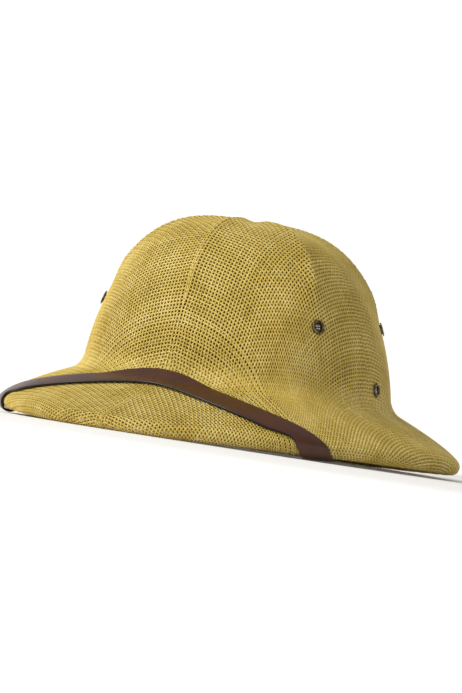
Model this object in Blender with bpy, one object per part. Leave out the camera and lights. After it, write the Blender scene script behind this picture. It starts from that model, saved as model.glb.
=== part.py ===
"""Straw pith helmet with a chin strap, the strap's posts and screened eyelets.

Lengths are metres, +Z is up, the wearer looks along -Y and the wearer's left is +X.
The origin lies on the surface that the hat stands on, under the middle of its outline.
Angles around the hat start at the front and grow towards the wearer's left.
"""
import math

import bpy
import numpy as np
from mathutils import Matrix, Vector

MM = 0.001
GAP = 0.3 * MM

# Straw shell: one woven wall that forms crown, brim and hem.
WALL = 2.0 * MM
BRIM_HALF_WIDTH = 150.0 * MM
BRIM_FRONT = 169.0 * MM
BRIM_BACK = 162.0 * MM
BRIM_CORNER = -0.028
BRIM_Y = (BRIM_FRONT - BRIM_BACK) / 2
CROWN_HALF_WIDTH = 98.0 * MM
CROWN_FRONT = 90.0 * MM
CROWN_BACK = 110.0 * MM
CROWN_CORNER = 0.04
CROWN_Y = -1.5 * MM
CROWN_LEAN = 8.5 * MM
CROWN_TOP = 144.5 * MM
SHOULDER_POWER = 1.44
ROOF_POWER = 3.37
JOIN_FRONT = 39.0 * MM
JOIN_SIDE = 38.0 * MM
JOIN_BACK = 39.0 * MM
COVE = 9.0 * MM
BRIM_START_SLOPE = math.tan(math.radians(22))

# Rolled edge: the brim turns under on a small radius and ends in a hem inside.
ROLL_RADIUS = 5.5 * MM
ROLL_START = math.radians(42)
ROLL_STEP = math.radians(24)
ROLL_STEPS = 8
ROLL_SEAT = ROLL_RADIUS * math.cos(ROLL_STEP / 2)
HEM_SHARE = 0.62
HEM_GAP = 0.8 * MM
SIDE_RISE = 4.0 * MM
RISE_POWER = 1.2
REST_ARC = math.radians(12)

# Soft ribs that run down from the top of the crown.
RIB_COUNT = 6
RIB_ANGLES = tuple(2 * math.pi * index / RIB_COUNT for index in range(RIB_COUNT))
RIB_HEIGHT = 2.6 * MM
RIB_HALF_WIDTH = 8.0 * MM
RIB_FADE_LOW = 90.0 * MM
RIB_FADE_HIGH = 112.0 * MM
RIB_MERGE = 24.0 * MM

# Mesh rows of the shell, from the top down, and columns from rib to rib.
CROWN_ROWS = 12
COVE_ROWS = 3
BRIM_ROWS = 4
COLUMNS_PER_PANEL = 11
COLUMN_CROWDING = 0.45

# Eyelets: angle from the front and height, the same on both sides.
EYELETS = {
    "front": (math.radians(60.5), 83.0 * MM),
    "rear": (math.radians(119.5), 90.0 * MM),
    "low": (math.radians(96), 50.0 * MM),
}
EYELET_BORE = 2.8 * MM
EYELET_BARREL = 3.25 * MM
EYELET_FLANGE = 4.7 * MM
EYELET_HOLE = EYELET_BARREL + GAP
EYELET_SIDES = 12
FLANGE_SEAT = 0.45 * MM
SCREEN_THICKNESS = 0.6 * MM
SCREEN_DEPTH = 0.5 * MM

# Chin strap: it lies over the front brim, wraps the rim and ends inside the crown.
STRAP_WIDTH = 17.5 * MM
STRAP_THICKNESS = 1.5 * MM
STRAP_LIFT = 0.6 * MM
STRAP_BED_HIGH = 5.5 * MM
STRAP_BED_IN = 1.4 * MM
STRAP_BED_OUT = 15.0 * MM
STRAP_WRAP_ANGLE = math.radians(49.2)
STRAP_FRONT = 14.0 * MM
STRAP_ROUTE_EASE = 0.25
STRAP_SLANT_FROM = 0.75
STRAP_WRAP_HEADING = math.radians(46)
STRAP_LEAVE = math.radians(-122)
STRAP_RUN_OUT = 14.0 * MM
STRAP_ACROSS = (-1.0, -1 / 3, 1 / 3, 1.0)
BRIM_STATIONS = 12
ROLL_STATIONS = 9
FREE_STATIONS = 3
WALL_STATIONS = 4
STRAP_END_SHARES = (1.0, 0.5, 0.2, 0.06)

# Posts that hold the strap's ends to the inside of the crown.
POST_ANGLE = math.radians(83)
POST_HEIGHT = 53.0 * MM
WALL_START_ANGLE = math.radians(73)
WALL_START_HEIGHT = 45.0 * MM
WALL_START_EASE = 7.0 * MM
POST_BASE_RADIUS = 5.0 * MM
POST_BASE_THICKNESS = 1.0 * MM
POST_SHANK_RADIUS = 1.7 * MM
POST_HEAD_RADIUS = 4.0 * MM
POST_HEAD_THICKNESS = 1.3 * MM
POST_SIDES = 12
WALL_SEAT = 0.35 * MM


def clear_scene():
    """Remove whatever the scene holds."""
    for item in list(bpy.data.objects):
        bpy.data.objects.remove(item, do_unlink=True)


def make_material(name, color, roughness, metallic):
    """Principled material of one colour."""
    material = bpy.data.materials.new(name)
    material.use_nodes = True
    shader = material.node_tree.nodes["Principled BSDF"]
    shader.inputs["Base Color"].default_value = (*color, 1.0)
    shader.inputs["Roughness"].default_value = roughness
    shader.inputs["Metallic"].default_value = metallic
    material.diffuse_color = (*color, 1.0)
    return material


def add_object(name, points, faces, material):
    """Smooth-shaded object from points and faces."""
    mesh = bpy.data.meshes.new(name)
    mesh.from_pydata([tuple(point) for point in points], [], faces)
    mesh.shade_smooth()
    mesh.set_sharp_from_angle(angle=math.radians(40))
    mesh.materials.append(material)
    item = bpy.data.objects.new(name, mesh)
    bpy.context.scene.collection.objects.link(item)
    return item


def smooth_step(value):
    """Ease from 0 to 1 with level ends."""
    share = np.clip(value, 0, 1)
    return share * share * (3 - 2 * share)


def plan(theta, half_width, front, back, corner):
    """Egg-shaped outline seen from above; corner pushes its diagonals out or in."""
    reach = (front + back) / 2 + (front - back) / 2 * np.cos(theta)
    x = half_width * np.sin(theta) * (1 + 2 * corner * np.cos(theta) ** 2)
    y = -reach * np.cos(theta) * (1 + 2 * corner * np.sin(theta) ** 2)
    return x, y


def join_height(theta):
    """Height of the ideal corner between the crown's wall and the brim."""
    forward = np.clip(np.cos(theta), 0, 1) ** 2
    backward = np.clip(-np.cos(theta), 0, 1) ** 2
    front_part = (JOIN_FRONT - JOIN_SIDE) * forward
    back_part = (JOIN_BACK - JOIN_SIDE) * backward
    return JOIN_SIDE + front_part + back_part


def rim_lift(theta):
    """Height of the rim's underside: level with the table in front and behind."""
    start = math.sin(REST_ARC)
    share = np.clip(np.abs(np.sin(theta)) - start, 0, 1) / (1 - start)
    return SIDE_RISE * share ** RISE_POWER


def crown_point(theta, rise):
    """Point of the plain dome; rise runs from 0 at the join to 1 at the top."""
    across = (1 - np.clip(rise, 0, 1) ** SHOULDER_POWER) ** (1 / ROOF_POWER)
    x, y = plan(theta, CROWN_HALF_WIDTH, CROWN_FRONT, CROWN_BACK, CROWN_CORNER)
    foot = join_height(theta)
    height = foot + (CROWN_TOP - foot) * rise
    lean = CROWN_LEAN * np.clip(rise, 0, 1)
    return np.stack(np.broadcast_arrays(x * across, y * across + CROWN_Y - lean, height), -1)


def crown_rises(count):
    """Rises of the dome's rows, evenly spaced along its side from the top to the cove."""
    angle = np.linspace(0, math.pi / 2, 2000)
    rise = np.sin(angle) ** (2 / SHOULDER_POWER)
    across = np.cos(angle) ** (2 / ROOF_POWER)
    steps = np.hypot(np.diff(across) * CROWN_HALF_WIDTH, np.diff(rise) * (CROWN_TOP - JOIN_SIDE))
    path = np.concatenate([[0], np.cumsum(steps)])
    return np.interp(np.linspace(path[-1], COVE, count + 1), path, rise)


def brim_frame(theta):
    """Join point, outward direction and width of the brim at each angle."""
    join = crown_point(theta, np.zeros_like(theta))
    x, y = plan(theta, BRIM_HALF_WIDTH, BRIM_FRONT, BRIM_BACK, BRIM_CORNER)
    reach = np.stack([x - join[..., 0], y + BRIM_Y - join[..., 1]], -1)
    width = np.linalg.norm(reach, axis=-1)
    out = np.concatenate([reach / width[..., None], np.zeros_like(reach[..., :1])], -1)
    return join, out, width


def brim_curve(theta, share):
    """Brim between join and roll: a curve with a set slope at each end, as (out, height)."""
    foot = join_height(theta)
    width = brim_frame(theta)[2]
    end_out = width - ROLL_RADIUS * (1 - math.cos(ROLL_START))
    end_height = rim_lift(theta) + ROLL_SEAT + ROLL_RADIUS * math.sin(ROLL_START)
    end_slope = 1 / math.tan(ROLL_START)
    drop = foot - end_height
    knee_out = (end_slope * end_out - drop) / (end_slope - BRIM_START_SLOPE)
    knee_height = foot - BRIM_START_SLOPE * knee_out
    near, middle, far = (1 - share) ** 2, 2 * share * (1 - share), share ** 2
    out = middle * knee_out + far * end_out
    height = near * foot + middle * knee_height + far * end_height
    return out, height


def roll_curve(theta, angle, extra=0.0):
    """Rolled edge: a circle at the rim, as (out, height)."""
    width = brim_frame(theta)[2]
    radius = ROLL_RADIUS + extra
    out = width - ROLL_RADIUS + radius * np.cos(angle)
    height = rim_lift(theta) + ROLL_SEAT + radius * np.sin(angle)
    return out, height


def hem_end(theta):
    """End of the hem as (out, height): a small gap below the brim's inner face."""
    out, height = brim_curve(theta, HEM_SHARE)
    ahead, lower = brim_curve(theta, HEM_SHARE + 0.001)
    size = np.hypot(ahead - out, lower - height)
    depth = 2 * WALL + HEM_GAP
    return out + (lower - height) / size * depth, height - (ahead - out) / size * depth


def place(theta, out, height):
    """Point at a distance out from the join, at a height."""
    join, direction, _ = brim_frame(theta)
    point = join + direction * np.asarray(out)[..., None]
    point[..., 2] = height
    return point


def rib_relief(points):
    """How far the ribs lift each point of the crown along its normal."""
    centre = np.array([0.0, CROWN_Y - CROWN_LEAN])
    offset = points[..., :2] - centre
    radius = np.linalg.norm(offset, axis=-1)
    azimuth = np.arctan2(offset[..., 0], -offset[..., 1])
    relief = np.zeros_like(radius)
    for angle in RIB_ANGLES:
        rib = crown_point(np.array(angle), np.array(0.5))[:2] - centre
        turn = azimuth - math.atan2(rib[0], -rib[1])
        distance = radius * (np.mod(turn + math.pi, 2 * math.pi) - math.pi)
        relief = np.maximum(relief, np.exp(-((distance / RIB_HALF_WIDTH) ** 2)))
    fade = smooth_step((points[..., 2] - RIB_FADE_LOW) / (RIB_FADE_HIGH - RIB_FADE_LOW))
    return RIB_HEIGHT * relief * fade * smooth_step(radius / RIB_MERGE)


def grid_normals(rows):
    """Outward normals of a grid of rows; the first row may be a single repeated point."""
    down = np.gradient(rows, axis=0)
    around = np.roll(rows, -1, axis=1) - np.roll(rows, 1, axis=1)
    around[0] = around[1]
    normal = np.cross(down, around)
    normal /= np.linalg.norm(normal, axis=-1, keepdims=True)
    normal[0] = (0, 0, 1)
    return normal


def columns():
    """Angles of the shell's columns, closest together near the ribs."""
    even = np.arange(COLUMNS_PER_PANEL) / COLUMNS_PER_PANEL
    share = even - COLUMN_CROWDING * np.sin(2 * math.pi * even) / (2 * math.pi)
    return (np.array(RIB_ANGLES)[:, None] + 2 * math.pi / RIB_COUNT * share).ravel()


def outer_rows():
    """Outer surface of the shell as rows of points, from the top to the end of the hem."""
    theta = columns()
    rows = [crown_point(theta, np.full_like(theta, rise)) for rise in crown_rises(CROWN_ROWS)]
    upper = rows[-1]
    wall_run = crown_point(theta, np.zeros_like(theta)) - upper
    share = (COVE / brim_frame(theta)[2]) * 0.5
    lower = place(theta, *brim_curve(theta, share))
    ahead = place(theta, *brim_curve(theta, share * 1.5))
    brim_run = (ahead - lower) / np.linalg.norm(ahead - lower, axis=-1, keepdims=True)
    first = upper + wall_run * 0.6
    second = lower - brim_run * COVE * 0.5
    for step in np.linspace(0, 1, COVE_ROWS + 2)[1:]:
        rest = 1 - step
        rows.append(rest ** 3 * upper + 3 * rest ** 2 * step * first
                    + 3 * rest * step ** 2 * second + step ** 3 * lower)
    for step in np.linspace(0, 1, BRIM_ROWS + 1)[1:]:
        rows.append(place(theta, *brim_curve(theta, share + (1 - share) * step)))
    for step in range(1, ROLL_STEPS + 1):
        rows.append(place(theta, *roll_curve(theta, ROLL_START - step * ROLL_STEP)))
    rows.append(place(theta, *hem_end(theta)))
    rows = np.array(rows)
    normal = grid_normals(rows)
    return rows + normal * rib_relief(rows)[..., None]


def build_shell(material):
    """Straw shell: the outer rows, and the same rows a wall thickness further in."""
    outer = outer_rows()
    inner = outer - grid_normals(outer) * WALL
    count, around = outer.shape[0] - 1, outer.shape[1]
    points = [outer[0, 0], inner[0, 0], *outer[1:].reshape(-1, 3), *inner[1:].reshape(-1, 3)]
    start = (2, 2 + count * around)
    faces = []
    for column in range(around):
        beside = (column + 1) % around
        faces.append((0, start[0] + column, start[0] + beside))
        faces.append((1, start[1] + beside, start[1] + column))
        for row in range(count - 1):
            here = [base + row * around for base in start]
            below = [base + (row + 1) * around for base in start]
            faces.append((here[0] + column, below[0] + column, below[0] + beside, here[0] + beside))
            faces.append((here[1] + beside, below[1] + beside, below[1] + column, here[1] + column))
        last = [base + (count - 1) * around for base in start]
        faces.append((last[0] + column, last[1] + column, last[1] + beside, last[0] + beside))
    return add_object("straw_shell", points, faces, material)


def crown_spot(theta, height):
    """Point and outward normal of the plain dome's wall at an angle and height."""
    foot = join_height(theta)
    rise = (height - foot) / (CROWN_TOP - foot)
    step = 1e-4
    point = crown_point(np.array(theta), np.array(rise))
    around = crown_point(np.array(theta + step), np.array(rise)) - point
    up = crown_point(np.array(theta), np.array(rise + step)) - point
    normal = np.cross(around, up)
    return point, normal / np.linalg.norm(normal)


def facing(point, normal):
    """Matrix that stands a turned piece on a point with its axis along a normal."""
    quaternion = Vector(normal).to_track_quat("Z", "Y")
    return Matrix.Translation(Vector(point)) @ quaternion.to_matrix().to_4x4()


def mirrored(vector, side):
    """Vector for the wearer's left (side 1) or right (side -1)."""
    return (vector[0] * side, vector[1], vector[2])


def turned(name, outline, sides, matrix, material):
    """Turned piece from a closed outline of (radius, height), stood up by a matrix."""
    count = len(outline)
    points = []
    for index in range(sides):
        angle = 2 * math.pi * index / sides
        points += [(r * math.cos(angle), r * math.sin(angle), z) for r, z in outline]
    faces = []
    for index in range(sides):
        here, beside = index * count, (index + 1) % sides * count
        for step in range(count):
            after = (step + 1) % count
            faces.append((here + step, beside + step, beside + after, here + after))
    item = add_object(name, points, faces, material)
    item.matrix_world = matrix
    return item


def disc(name, rows, sides, matrix, material):
    """Solid turned piece: rows of (radius, height) from bottom to top with flat ends."""
    points = []
    for radius, height in rows:
        for index in range(sides):
            angle = 2 * math.pi * index / sides
            points.append((radius * math.cos(angle), radius * math.sin(angle), height))
    faces = [tuple(reversed(range(sides)))]
    for row in range(len(rows) - 1):
        for index in range(sides):
            beside = (index + 1) % sides
            base, above = row * sides, (row + 1) * sides
            faces.append((base + index, base + beside, above + beside, above + index))
    faces.append(tuple(range((len(rows) - 1) * sides, len(rows) * sides)))
    item = add_object(name, points, faces, material)
    item.matrix_world = matrix
    return item


def cut(target, radius, length, matrix, name):
    """Drill a round hole through a piece with a hidden cutter."""
    rows = [(radius, -length / 2), (radius, length / 2)]
    cutter = disc(name, rows, EYELET_SIDES, matrix, target.data.materials[0])
    cutter.hide_render = True
    cutter.display_type = "WIRE"
    boolean = target.modifiers.new(name, "BOOLEAN")
    boolean.operation = "DIFFERENCE"
    boolean.solver = "EXACT"
    boolean.object = cutter


def build_eyelet(shell, label, theta, height, side, metal, mesh_metal):
    """Hole in the wall, the ring that lines it and the screen inside the ring."""
    point, normal = crown_spot(theta, height)
    matrix = facing(mirrored(point, side), mirrored(normal, side))
    cut(shell, EYELET_HOLE, 12 * MM, matrix, "cut_" + label)
    back = -(WALL + FLANGE_SEAT + 0.1 * MM)
    outline = [
        (EYELET_BORE, 0.9 * MM),
        (EYELET_BORE, back - 0.7 * MM),
        (EYELET_FLANGE - 0.3 * MM, back - 0.5 * MM),
        (EYELET_FLANGE - 0.3 * MM, back),
        (EYELET_BARREL, back),
        (EYELET_BARREL, FLANGE_SEAT),
        (EYELET_FLANGE, FLANGE_SEAT),
        (EYELET_FLANGE - 0.2 * MM, 1.0 * MM),
        (EYELET_BORE + 0.7 * MM, 1.35 * MM),
    ]
    turned("eyelet_" + label, outline, EYELET_SIDES, matrix, metal)
    radius = EYELET_BORE - GAP
    rows = [(radius, -SCREEN_DEPTH - SCREEN_THICKNESS), (radius, -SCREEN_DEPTH)]
    disc("screen_" + label, rows, EYELET_SIDES, matrix, mesh_metal)


def build_post(label, side, metal):
    """Plain post on the crown's inner wall: base, shank through the strap, and head."""
    point, normal = crown_spot(POST_ANGLE, POST_HEIGHT)
    seat = point - normal * (WALL + WALL_SEAT)
    matrix = facing(mirrored(seat, side), mirrored(-normal, side))
    base = POST_BASE_THICKNESS
    neck = base + 3 * GAP + STRAP_THICKNESS
    rows = [
        (POST_BASE_RADIUS, 0.0),
        (POST_BASE_RADIUS, base),
        (POST_SHANK_RADIUS, base),
        (POST_SHANK_RADIUS, neck),
        (POST_HEAD_RADIUS, neck),
        (POST_HEAD_RADIUS, neck + POST_HEAD_THICKNESS * 0.5),
        (POST_HEAD_RADIUS * 0.6, neck + POST_HEAD_THICKNESS),
    ]
    disc("strap_post_" + label, rows, POST_SIDES, matrix, metal)
    return matrix, base + 1.5 * GAP + STRAP_THICKNESS / 2


def bed_profile(theta):
    """Profile that the strap bears on: across the cove, down the brim, round the roll."""
    theta = np.array(theta)
    foot = join_height(theta)
    share = np.linspace(0.0, 1.0, 160)
    out, height = brim_curve(np.full_like(share, theta), share)
    keep = out > STRAP_BED_OUT
    start_out = np.array([STRAP_BED_IN, STRAP_BED_OUT])
    start_height = np.array([foot + STRAP_BED_HIGH, np.interp(STRAP_BED_OUT, out, height)])
    angle = np.linspace(ROLL_START, STRAP_LEAVE, 60)[1:]
    roll_out, roll_height = roll_curve(theta, angle)
    run = STRAP_RUN_OUT * 2.5
    end_out = roll_out[-1] + run * math.sin(STRAP_LEAVE)
    end_height = roll_height[-1] - run * math.cos(STRAP_LEAVE)
    outs = np.concatenate([start_out, out[keep], roll_out, [end_out]])
    heights = np.concatenate([start_height, height[keep], roll_height, [end_height]])
    lengths = np.concatenate([[0], np.cumsum(np.hypot(np.diff(outs), np.diff(heights)))])
    roll_at = lengths[2 + keep.sum() - 1]
    leave_at = lengths[-2]
    return outs, heights, lengths, roll_at, leave_at


def bed_point(theta, length, lift):
    """Point over the strap's bed, a lift off it, at a length along its profile."""
    outs, heights, lengths, _, _ = bed_profile(theta)
    span = 0.4 * MM
    ends = np.array([length - span, length + span])
    run = np.diff(np.interp(ends, lengths, outs))[0], np.diff(np.interp(ends, lengths, heights))[0]
    size = math.hypot(*run)
    out = np.interp(length, lengths, outs) - run[1] / size * lift
    height = np.interp(length, lengths, heights) + run[0] / size * lift
    return place(np.array(theta), out, height)


def wall_point(theta, height, lift):
    """Point off the crown's inner wall, the lift counted inwards."""
    point, normal = crown_spot(theta, max(height, join_height(theta)))
    point = point - normal * (WALL + lift)
    point[2] += height - max(height, join_height(theta))
    return point


def speed(theta, length):
    """Metres travelled for each radian around the hat on the strap's bed."""
    step = 1e-3
    ahead, behind = bed_point(theta + step, length, 0.0), bed_point(theta - step, length, 0.0)
    return np.linalg.norm(ahead - behind) / (2 * step)


def bed_route():
    """Stations (angle, length, slant) of the strap's middle, from the front round the roll.

    A station's slant turns its cross line from square (0) to level with the rim (1),
    so that the strap bends round the roll along straight lines.
    """
    route = []
    _, _, _, wrap_at, leave_at = bed_profile(STRAP_WRAP_ANGLE)
    finish = math.hypot(1, STRAP_ROUTE_EASE) - STRAP_ROUTE_EASE
    for share in np.linspace(0, 1, BRIM_STATIONS):
        theta = STRAP_WRAP_ANGLE * share
        way = (math.hypot(share, STRAP_ROUTE_EASE) - STRAP_ROUTE_EASE) / finish
        length = STRAP_FRONT + (wrap_at - STRAP_FRONT) * way
        slant = smooth_step((share - STRAP_SLANT_FROM) / (1 - STRAP_SLANT_FROM))
        route.append((theta, length, slant))
    for length in np.linspace(wrap_at, leave_at + STRAP_RUN_OUT, ROLL_STATIONS + 1)[1:]:
        theta, before, _ = route[-1]
        turn = (length - before) / math.tan(STRAP_WRAP_HEADING) / speed(theta, before)
        route.append((theta + turn, length, 1.0))
    return route


def bed_section(route, index, lift):
    """Points across the strap at a station of its bed."""
    before, after = route[max(index - 1, 0)], route[min(index + 1, len(route) - 1)]
    theta, length, slant = route[index]
    pace = speed(theta, length)
    heading = math.atan2(after[1] - before[1], (after[0] - before[0]) * pace)
    if index == 0:
        heading = 0.0
    cross = heading + math.pi / 2 + slant * (math.pi / 2 - heading)
    stretch = STRAP_WIDTH / 2 / max(math.sin(cross - heading), math.sin(STRAP_WRAP_HEADING))
    section = []
    for share in STRAP_ACROSS:
        reach = share * stretch
        beside = theta + math.cos(cross) * reach / pace
        section.append(bed_point(beside, length + math.sin(cross) * reach, lift))
    return np.array(section)


def wall_span():
    """Run of the strap on the crown's wall, from where it lands to the post."""
    landing = wall_point(WALL_START_ANGLE, WALL_START_HEIGHT, 0)
    return wall_point(POST_ANGLE, POST_HEIGHT, 0) - landing


def wall_section(along, half_width, lift):
    """Points across the strap on the crown's wall; along 1 is at the post."""
    span = wall_span()
    climb = POST_HEIGHT - WALL_START_HEIGHT
    run = math.hypot(span[0], span[1])
    heading = math.atan2(climb, run)
    pace = run / (POST_ANGLE - WALL_START_ANGLE)
    theta = WALL_START_ANGLE + (POST_ANGLE - WALL_START_ANGLE) * along
    height = WALL_START_HEIGHT + climb * along
    section = []
    for share in STRAP_ACROSS:
        reach = share * half_width
        beside = theta - math.sin(heading) * reach / pace
        ease = WALL_START_EASE * max(1 - along, 0) ** 3
        section.append(wall_point(beside, height + math.cos(heading) * reach, lift + ease))
    return np.array(section)


def strap_side():
    """Sections of half the strap, bottom and top face, from the front to the round end."""
    route = bed_route()
    lifts = (STRAP_LIFT, STRAP_LIFT + STRAP_THICKNESS)
    base_lift = WALL_SEAT + POST_BASE_THICKNESS + 1.5 * GAP
    wall_lifts = (base_lift, base_lift + STRAP_THICKNESS)
    faces = []
    half = STRAP_WIDTH / 2
    length = np.linalg.norm(wall_span())
    for lift, wall_lift in zip(lifts, wall_lifts):
        sections = [bed_section(route, index, lift) for index in range(len(route))]
        target = wall_section(0.0, half, wall_lift)
        for share in np.linspace(0, 1, FREE_STATIONS + 2)[1:-1]:
            sections.append(sections[len(route) - 1] * (1 - share) + target * share)
        for along in np.linspace(0, 1, WALL_STATIONS)[:-1]:
            sections.append(wall_section(along, half, wall_lift))
        for share in STRAP_END_SHARES:
            inset = 1 - share
            width = half * math.sqrt(1 - inset ** 2)
            sections.append(wall_section(1 + inset * half / length, width, wall_lift))
        faces.append(np.array(sections))
    return faces


def build_strap(material, posts):
    """Chin strap: one closed band from post to post, drilled for both shanks."""
    under, over = strap_side()
    flip = np.array([-1.0, 1.0, 1.0])
    under = np.concatenate([under[:0:-1] * flip, under])
    over = np.concatenate([over[:0:-1] * flip, over])
    across = len(STRAP_ACROSS)
    ring = 2 * across
    points = np.concatenate([under, over[:, ::-1]], axis=1).reshape(-1, 3)
    faces = [tuple(range(ring))]
    for station in range(len(under) - 1):
        here, there = station * ring, (station + 1) * ring
        for step in range(ring):
            after = (step + 1) % ring
            faces.append((here + step, there + step, there + after, here + after))
    last = (len(under) - 1) * ring
    faces.append(tuple(reversed(range(last, last + ring))))
    strap = add_object("chin_strap", points, faces, material)
    for label, (matrix, depth) in posts.items():
        place_at = matrix @ Matrix.Translation((0, 0, depth))
        cut(strap, POST_SHANK_RADIUS + GAP, 5 * MM, place_at, "cut_strap_" + label)
    return strap


def main():
    """Build every piece of the hat."""
    clear_scene()
    straw = make_material("straw", (0.52, 0.42, 0.14), 0.75, 0.0)
    leather = make_material("strap_leather", (0.11, 0.03, 0.02), 0.25, 0.0)
    bronze = make_material("bronze", (0.16, 0.12, 0.07), 0.4, 1.0)
    screen_metal = make_material("screen_metal", (0.06, 0.05, 0.05), 0.35, 1.0)
    shell = build_shell(straw)
    sides = {"left": 1, "right": -1}
    for word, side in sides.items():
        for spot, (theta, height) in EYELETS.items():
            build_eyelet(shell, spot + "_" + word, theta, height, side, bronze, screen_metal)
    posts = {word: build_post(word, side, bronze) for word, side in sides.items()}
    build_strap(leather, posts)


main()
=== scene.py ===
"""Finished look of a woven straw pith helmet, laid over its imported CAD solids.

Lengths are metres, +Z is up, the wearer looks along -Y and the wearer's left is +X.
Angles round the hat start at the front and grow towards the wearer's left.
"""

import logging
import math
from dataclasses import dataclass, field
from enum import Enum
from typing import Any, NamedTuple, Sequence

import bpy
import numpy as np
from mathutils import Matrix, Vector

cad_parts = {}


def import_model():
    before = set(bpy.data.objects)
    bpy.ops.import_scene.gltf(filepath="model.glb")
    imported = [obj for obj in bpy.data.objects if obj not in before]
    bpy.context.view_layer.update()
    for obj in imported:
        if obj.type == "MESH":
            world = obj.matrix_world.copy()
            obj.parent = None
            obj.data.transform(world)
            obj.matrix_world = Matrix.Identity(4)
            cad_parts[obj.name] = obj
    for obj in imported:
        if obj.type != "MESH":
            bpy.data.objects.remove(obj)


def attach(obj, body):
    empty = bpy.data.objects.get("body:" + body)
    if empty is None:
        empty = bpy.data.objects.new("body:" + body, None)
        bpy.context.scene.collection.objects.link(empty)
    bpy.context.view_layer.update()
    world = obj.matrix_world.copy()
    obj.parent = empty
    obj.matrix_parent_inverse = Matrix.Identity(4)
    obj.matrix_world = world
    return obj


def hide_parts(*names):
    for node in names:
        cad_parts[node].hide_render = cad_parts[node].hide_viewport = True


LOG = logging.getLogger("pith_helmet")
MM = 0.001
TINY = 1e-12
ROOT = "root"
SIDES = {"left": 1.0, "right": -1.0}
MIRROR = np.array([-1.0, 1.0, 1.0])
# Numbers of a Mix node's sockets, when it mixes colours.
MIX_FACTOR, MIX_A, MIX_B, MIX_RESULT = 0, 6, 7, 2


# ---------------------------------------------------------------- colours and nodes


def linear(hex_code: str) -> tuple[float, float, float, float]:
    """Turn an sRGB hex colour into the linear colour that shaders use.

    The sRGB curve is c / 12.92 up to 0.04045, and ((c + 0.055) / 1.055)^2.4 above.

    Args:
        hex_code: Six hex digits, such as "C8B26A".

    Returns:
        Red, green, blue and alpha, each from 0 to 1.
    """
    parts = [int(hex_code[start:start + 2], 16) / 255 for start in (0, 2, 4)]
    curve = [p / 12.92 if p <= 0.04045 else ((p + 0.055) / 1.055) ** 2.4 for p in parts]
    return (curve[0], curve[1], curve[2], 1.0)


def add_node(tree: bpy.types.NodeTree, kind: str, settings: dict[str, Any] | None = None,
             inputs: dict[Any, Any] | None = None) -> bpy.types.Node:
    """Add a shader node with its settings, values and links.

    Args:
        tree: Node tree that takes the node.
        kind: Blender's type name of the node, without the leading "ShaderNode".
        settings: Attributes of the node, such as an operation.
        inputs: Values or output sockets for its inputs, by name or number.

    Returns:
        The new node.
    """
    node = tree.nodes.new("ShaderNode" + kind)
    for name, value in (settings or {}).items():
        setattr(node, name, value)
    for name, value in (inputs or {}).items():
        if isinstance(value, bpy.types.NodeSocket):
            tree.links.new(value, node.inputs[name])
        else:
            node.inputs[name].default_value = value
    return node


def ramp(tree: bpy.types.NodeTree, factor: bpy.types.NodeSocket,
         stops: Sequence[tuple[float, str]]) -> bpy.types.NodeSocket:
    """Colour ramp from a factor through several hex colours.

    Args:
        tree: Node tree that takes the ramp.
        factor: Socket that drives it.
        stops: Position and hex colour of each stop, in rising order.

    Returns:
        The ramp's colour socket.
    """
    node = add_node(tree, "ValToRGB", inputs={"Fac": factor})
    elements = node.color_ramp.elements
    while len(elements) < len(stops):
        elements.new(1.0)
    for element, (place, hex_code) in zip(elements, stops):
        element.position = place
        element.color = linear(hex_code)
    return node.outputs["Color"]


def new_material(name: str, **constants: Any) -> tuple[bpy.types.Material, bpy.types.Node]:
    """Material with one Principled shader whose constant values are set on its sockets.

    Args:
        name: Name of the real material.
        constants: Socket values, with underscores for spaces in the socket's name.

    Returns:
        The material and its shader node.
    """
    material = bpy.data.materials.new(name)
    material.use_nodes = True
    shader = material.node_tree.nodes["Principled BSDF"]
    for key, value in constants.items():
        shader.inputs[key.replace("_", " ")].default_value = value
    return material, shader


# ---------------------------------------------------------------- meshes


def make_piece(name: str, points: np.ndarray, quads: np.ndarray, material: bpy.types.Material,
               replaced: Sequence[str] = (), uv: np.ndarray | None = None,
               values: dict[str, np.ndarray] | None = None, sharp: float = 60.0,
               normals: np.ndarray | None = None) -> bpy.types.Object:
    """Smooth mesh object from whole arrays, riding on the hat.

    Args:
        name: Name of the piece.
        points: Vertex positions, (count, 3).
        quads: Vertex numbers of the faces, (count, 4).
        material: Its only material.
        replaced: CAD nodes that it stands for.
        uv: UV of each face corner, (faces * 4, 2).
        values: Point attributes by name, one number for each vertex.
        sharp: Angle in degrees past which an edge is sharp.
        normals: Shading normal of each vertex, where the faces' own wouldn't do.

    Returns:
        The new object.
    """
    mesh = bpy.data.meshes.new(name)
    mesh.vertices.add(len(points))
    mesh.vertices.foreach_set("co", np.ascontiguousarray(points, np.float32).ravel())
    mesh.loops.add(quads.size)
    mesh.loops.foreach_set("vertex_index", np.ascontiguousarray(quads, np.int32).ravel())
    mesh.polygons.add(len(quads))
    mesh.polygons.foreach_set("loop_start", np.arange(0, quads.size, 4, dtype=np.int32))
    mesh.update(calc_edges=True)
    mesh.validate()
    if uv is not None:
        layer = mesh.uv_layers.new(name="UVMap")
        layer.data.foreach_set("uv", np.ascontiguousarray(uv, np.float32).ravel())
    for key, numbers in (values or {}).items():
        attribute = mesh.attributes.new(key, "FLOAT", "POINT")
        attribute.data.foreach_set("value", np.ascontiguousarray(numbers, np.float32))
    mesh.shade_smooth()
    if normals is None:
        mesh.set_sharp_from_angle(angle=math.radians(sharp))
    else:
        mesh.normals_split_custom_set_from_vertices(normals)
    mesh.materials.append(material)
    piece = bpy.data.objects.new(name, mesh)
    bpy.context.scene.collection.objects.link(piece)
    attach(piece, ROOT)
    if replaced:
        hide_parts(*replaced)
    LOG.info("%s: %d faces", name, len(quads))
    return piece


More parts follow.
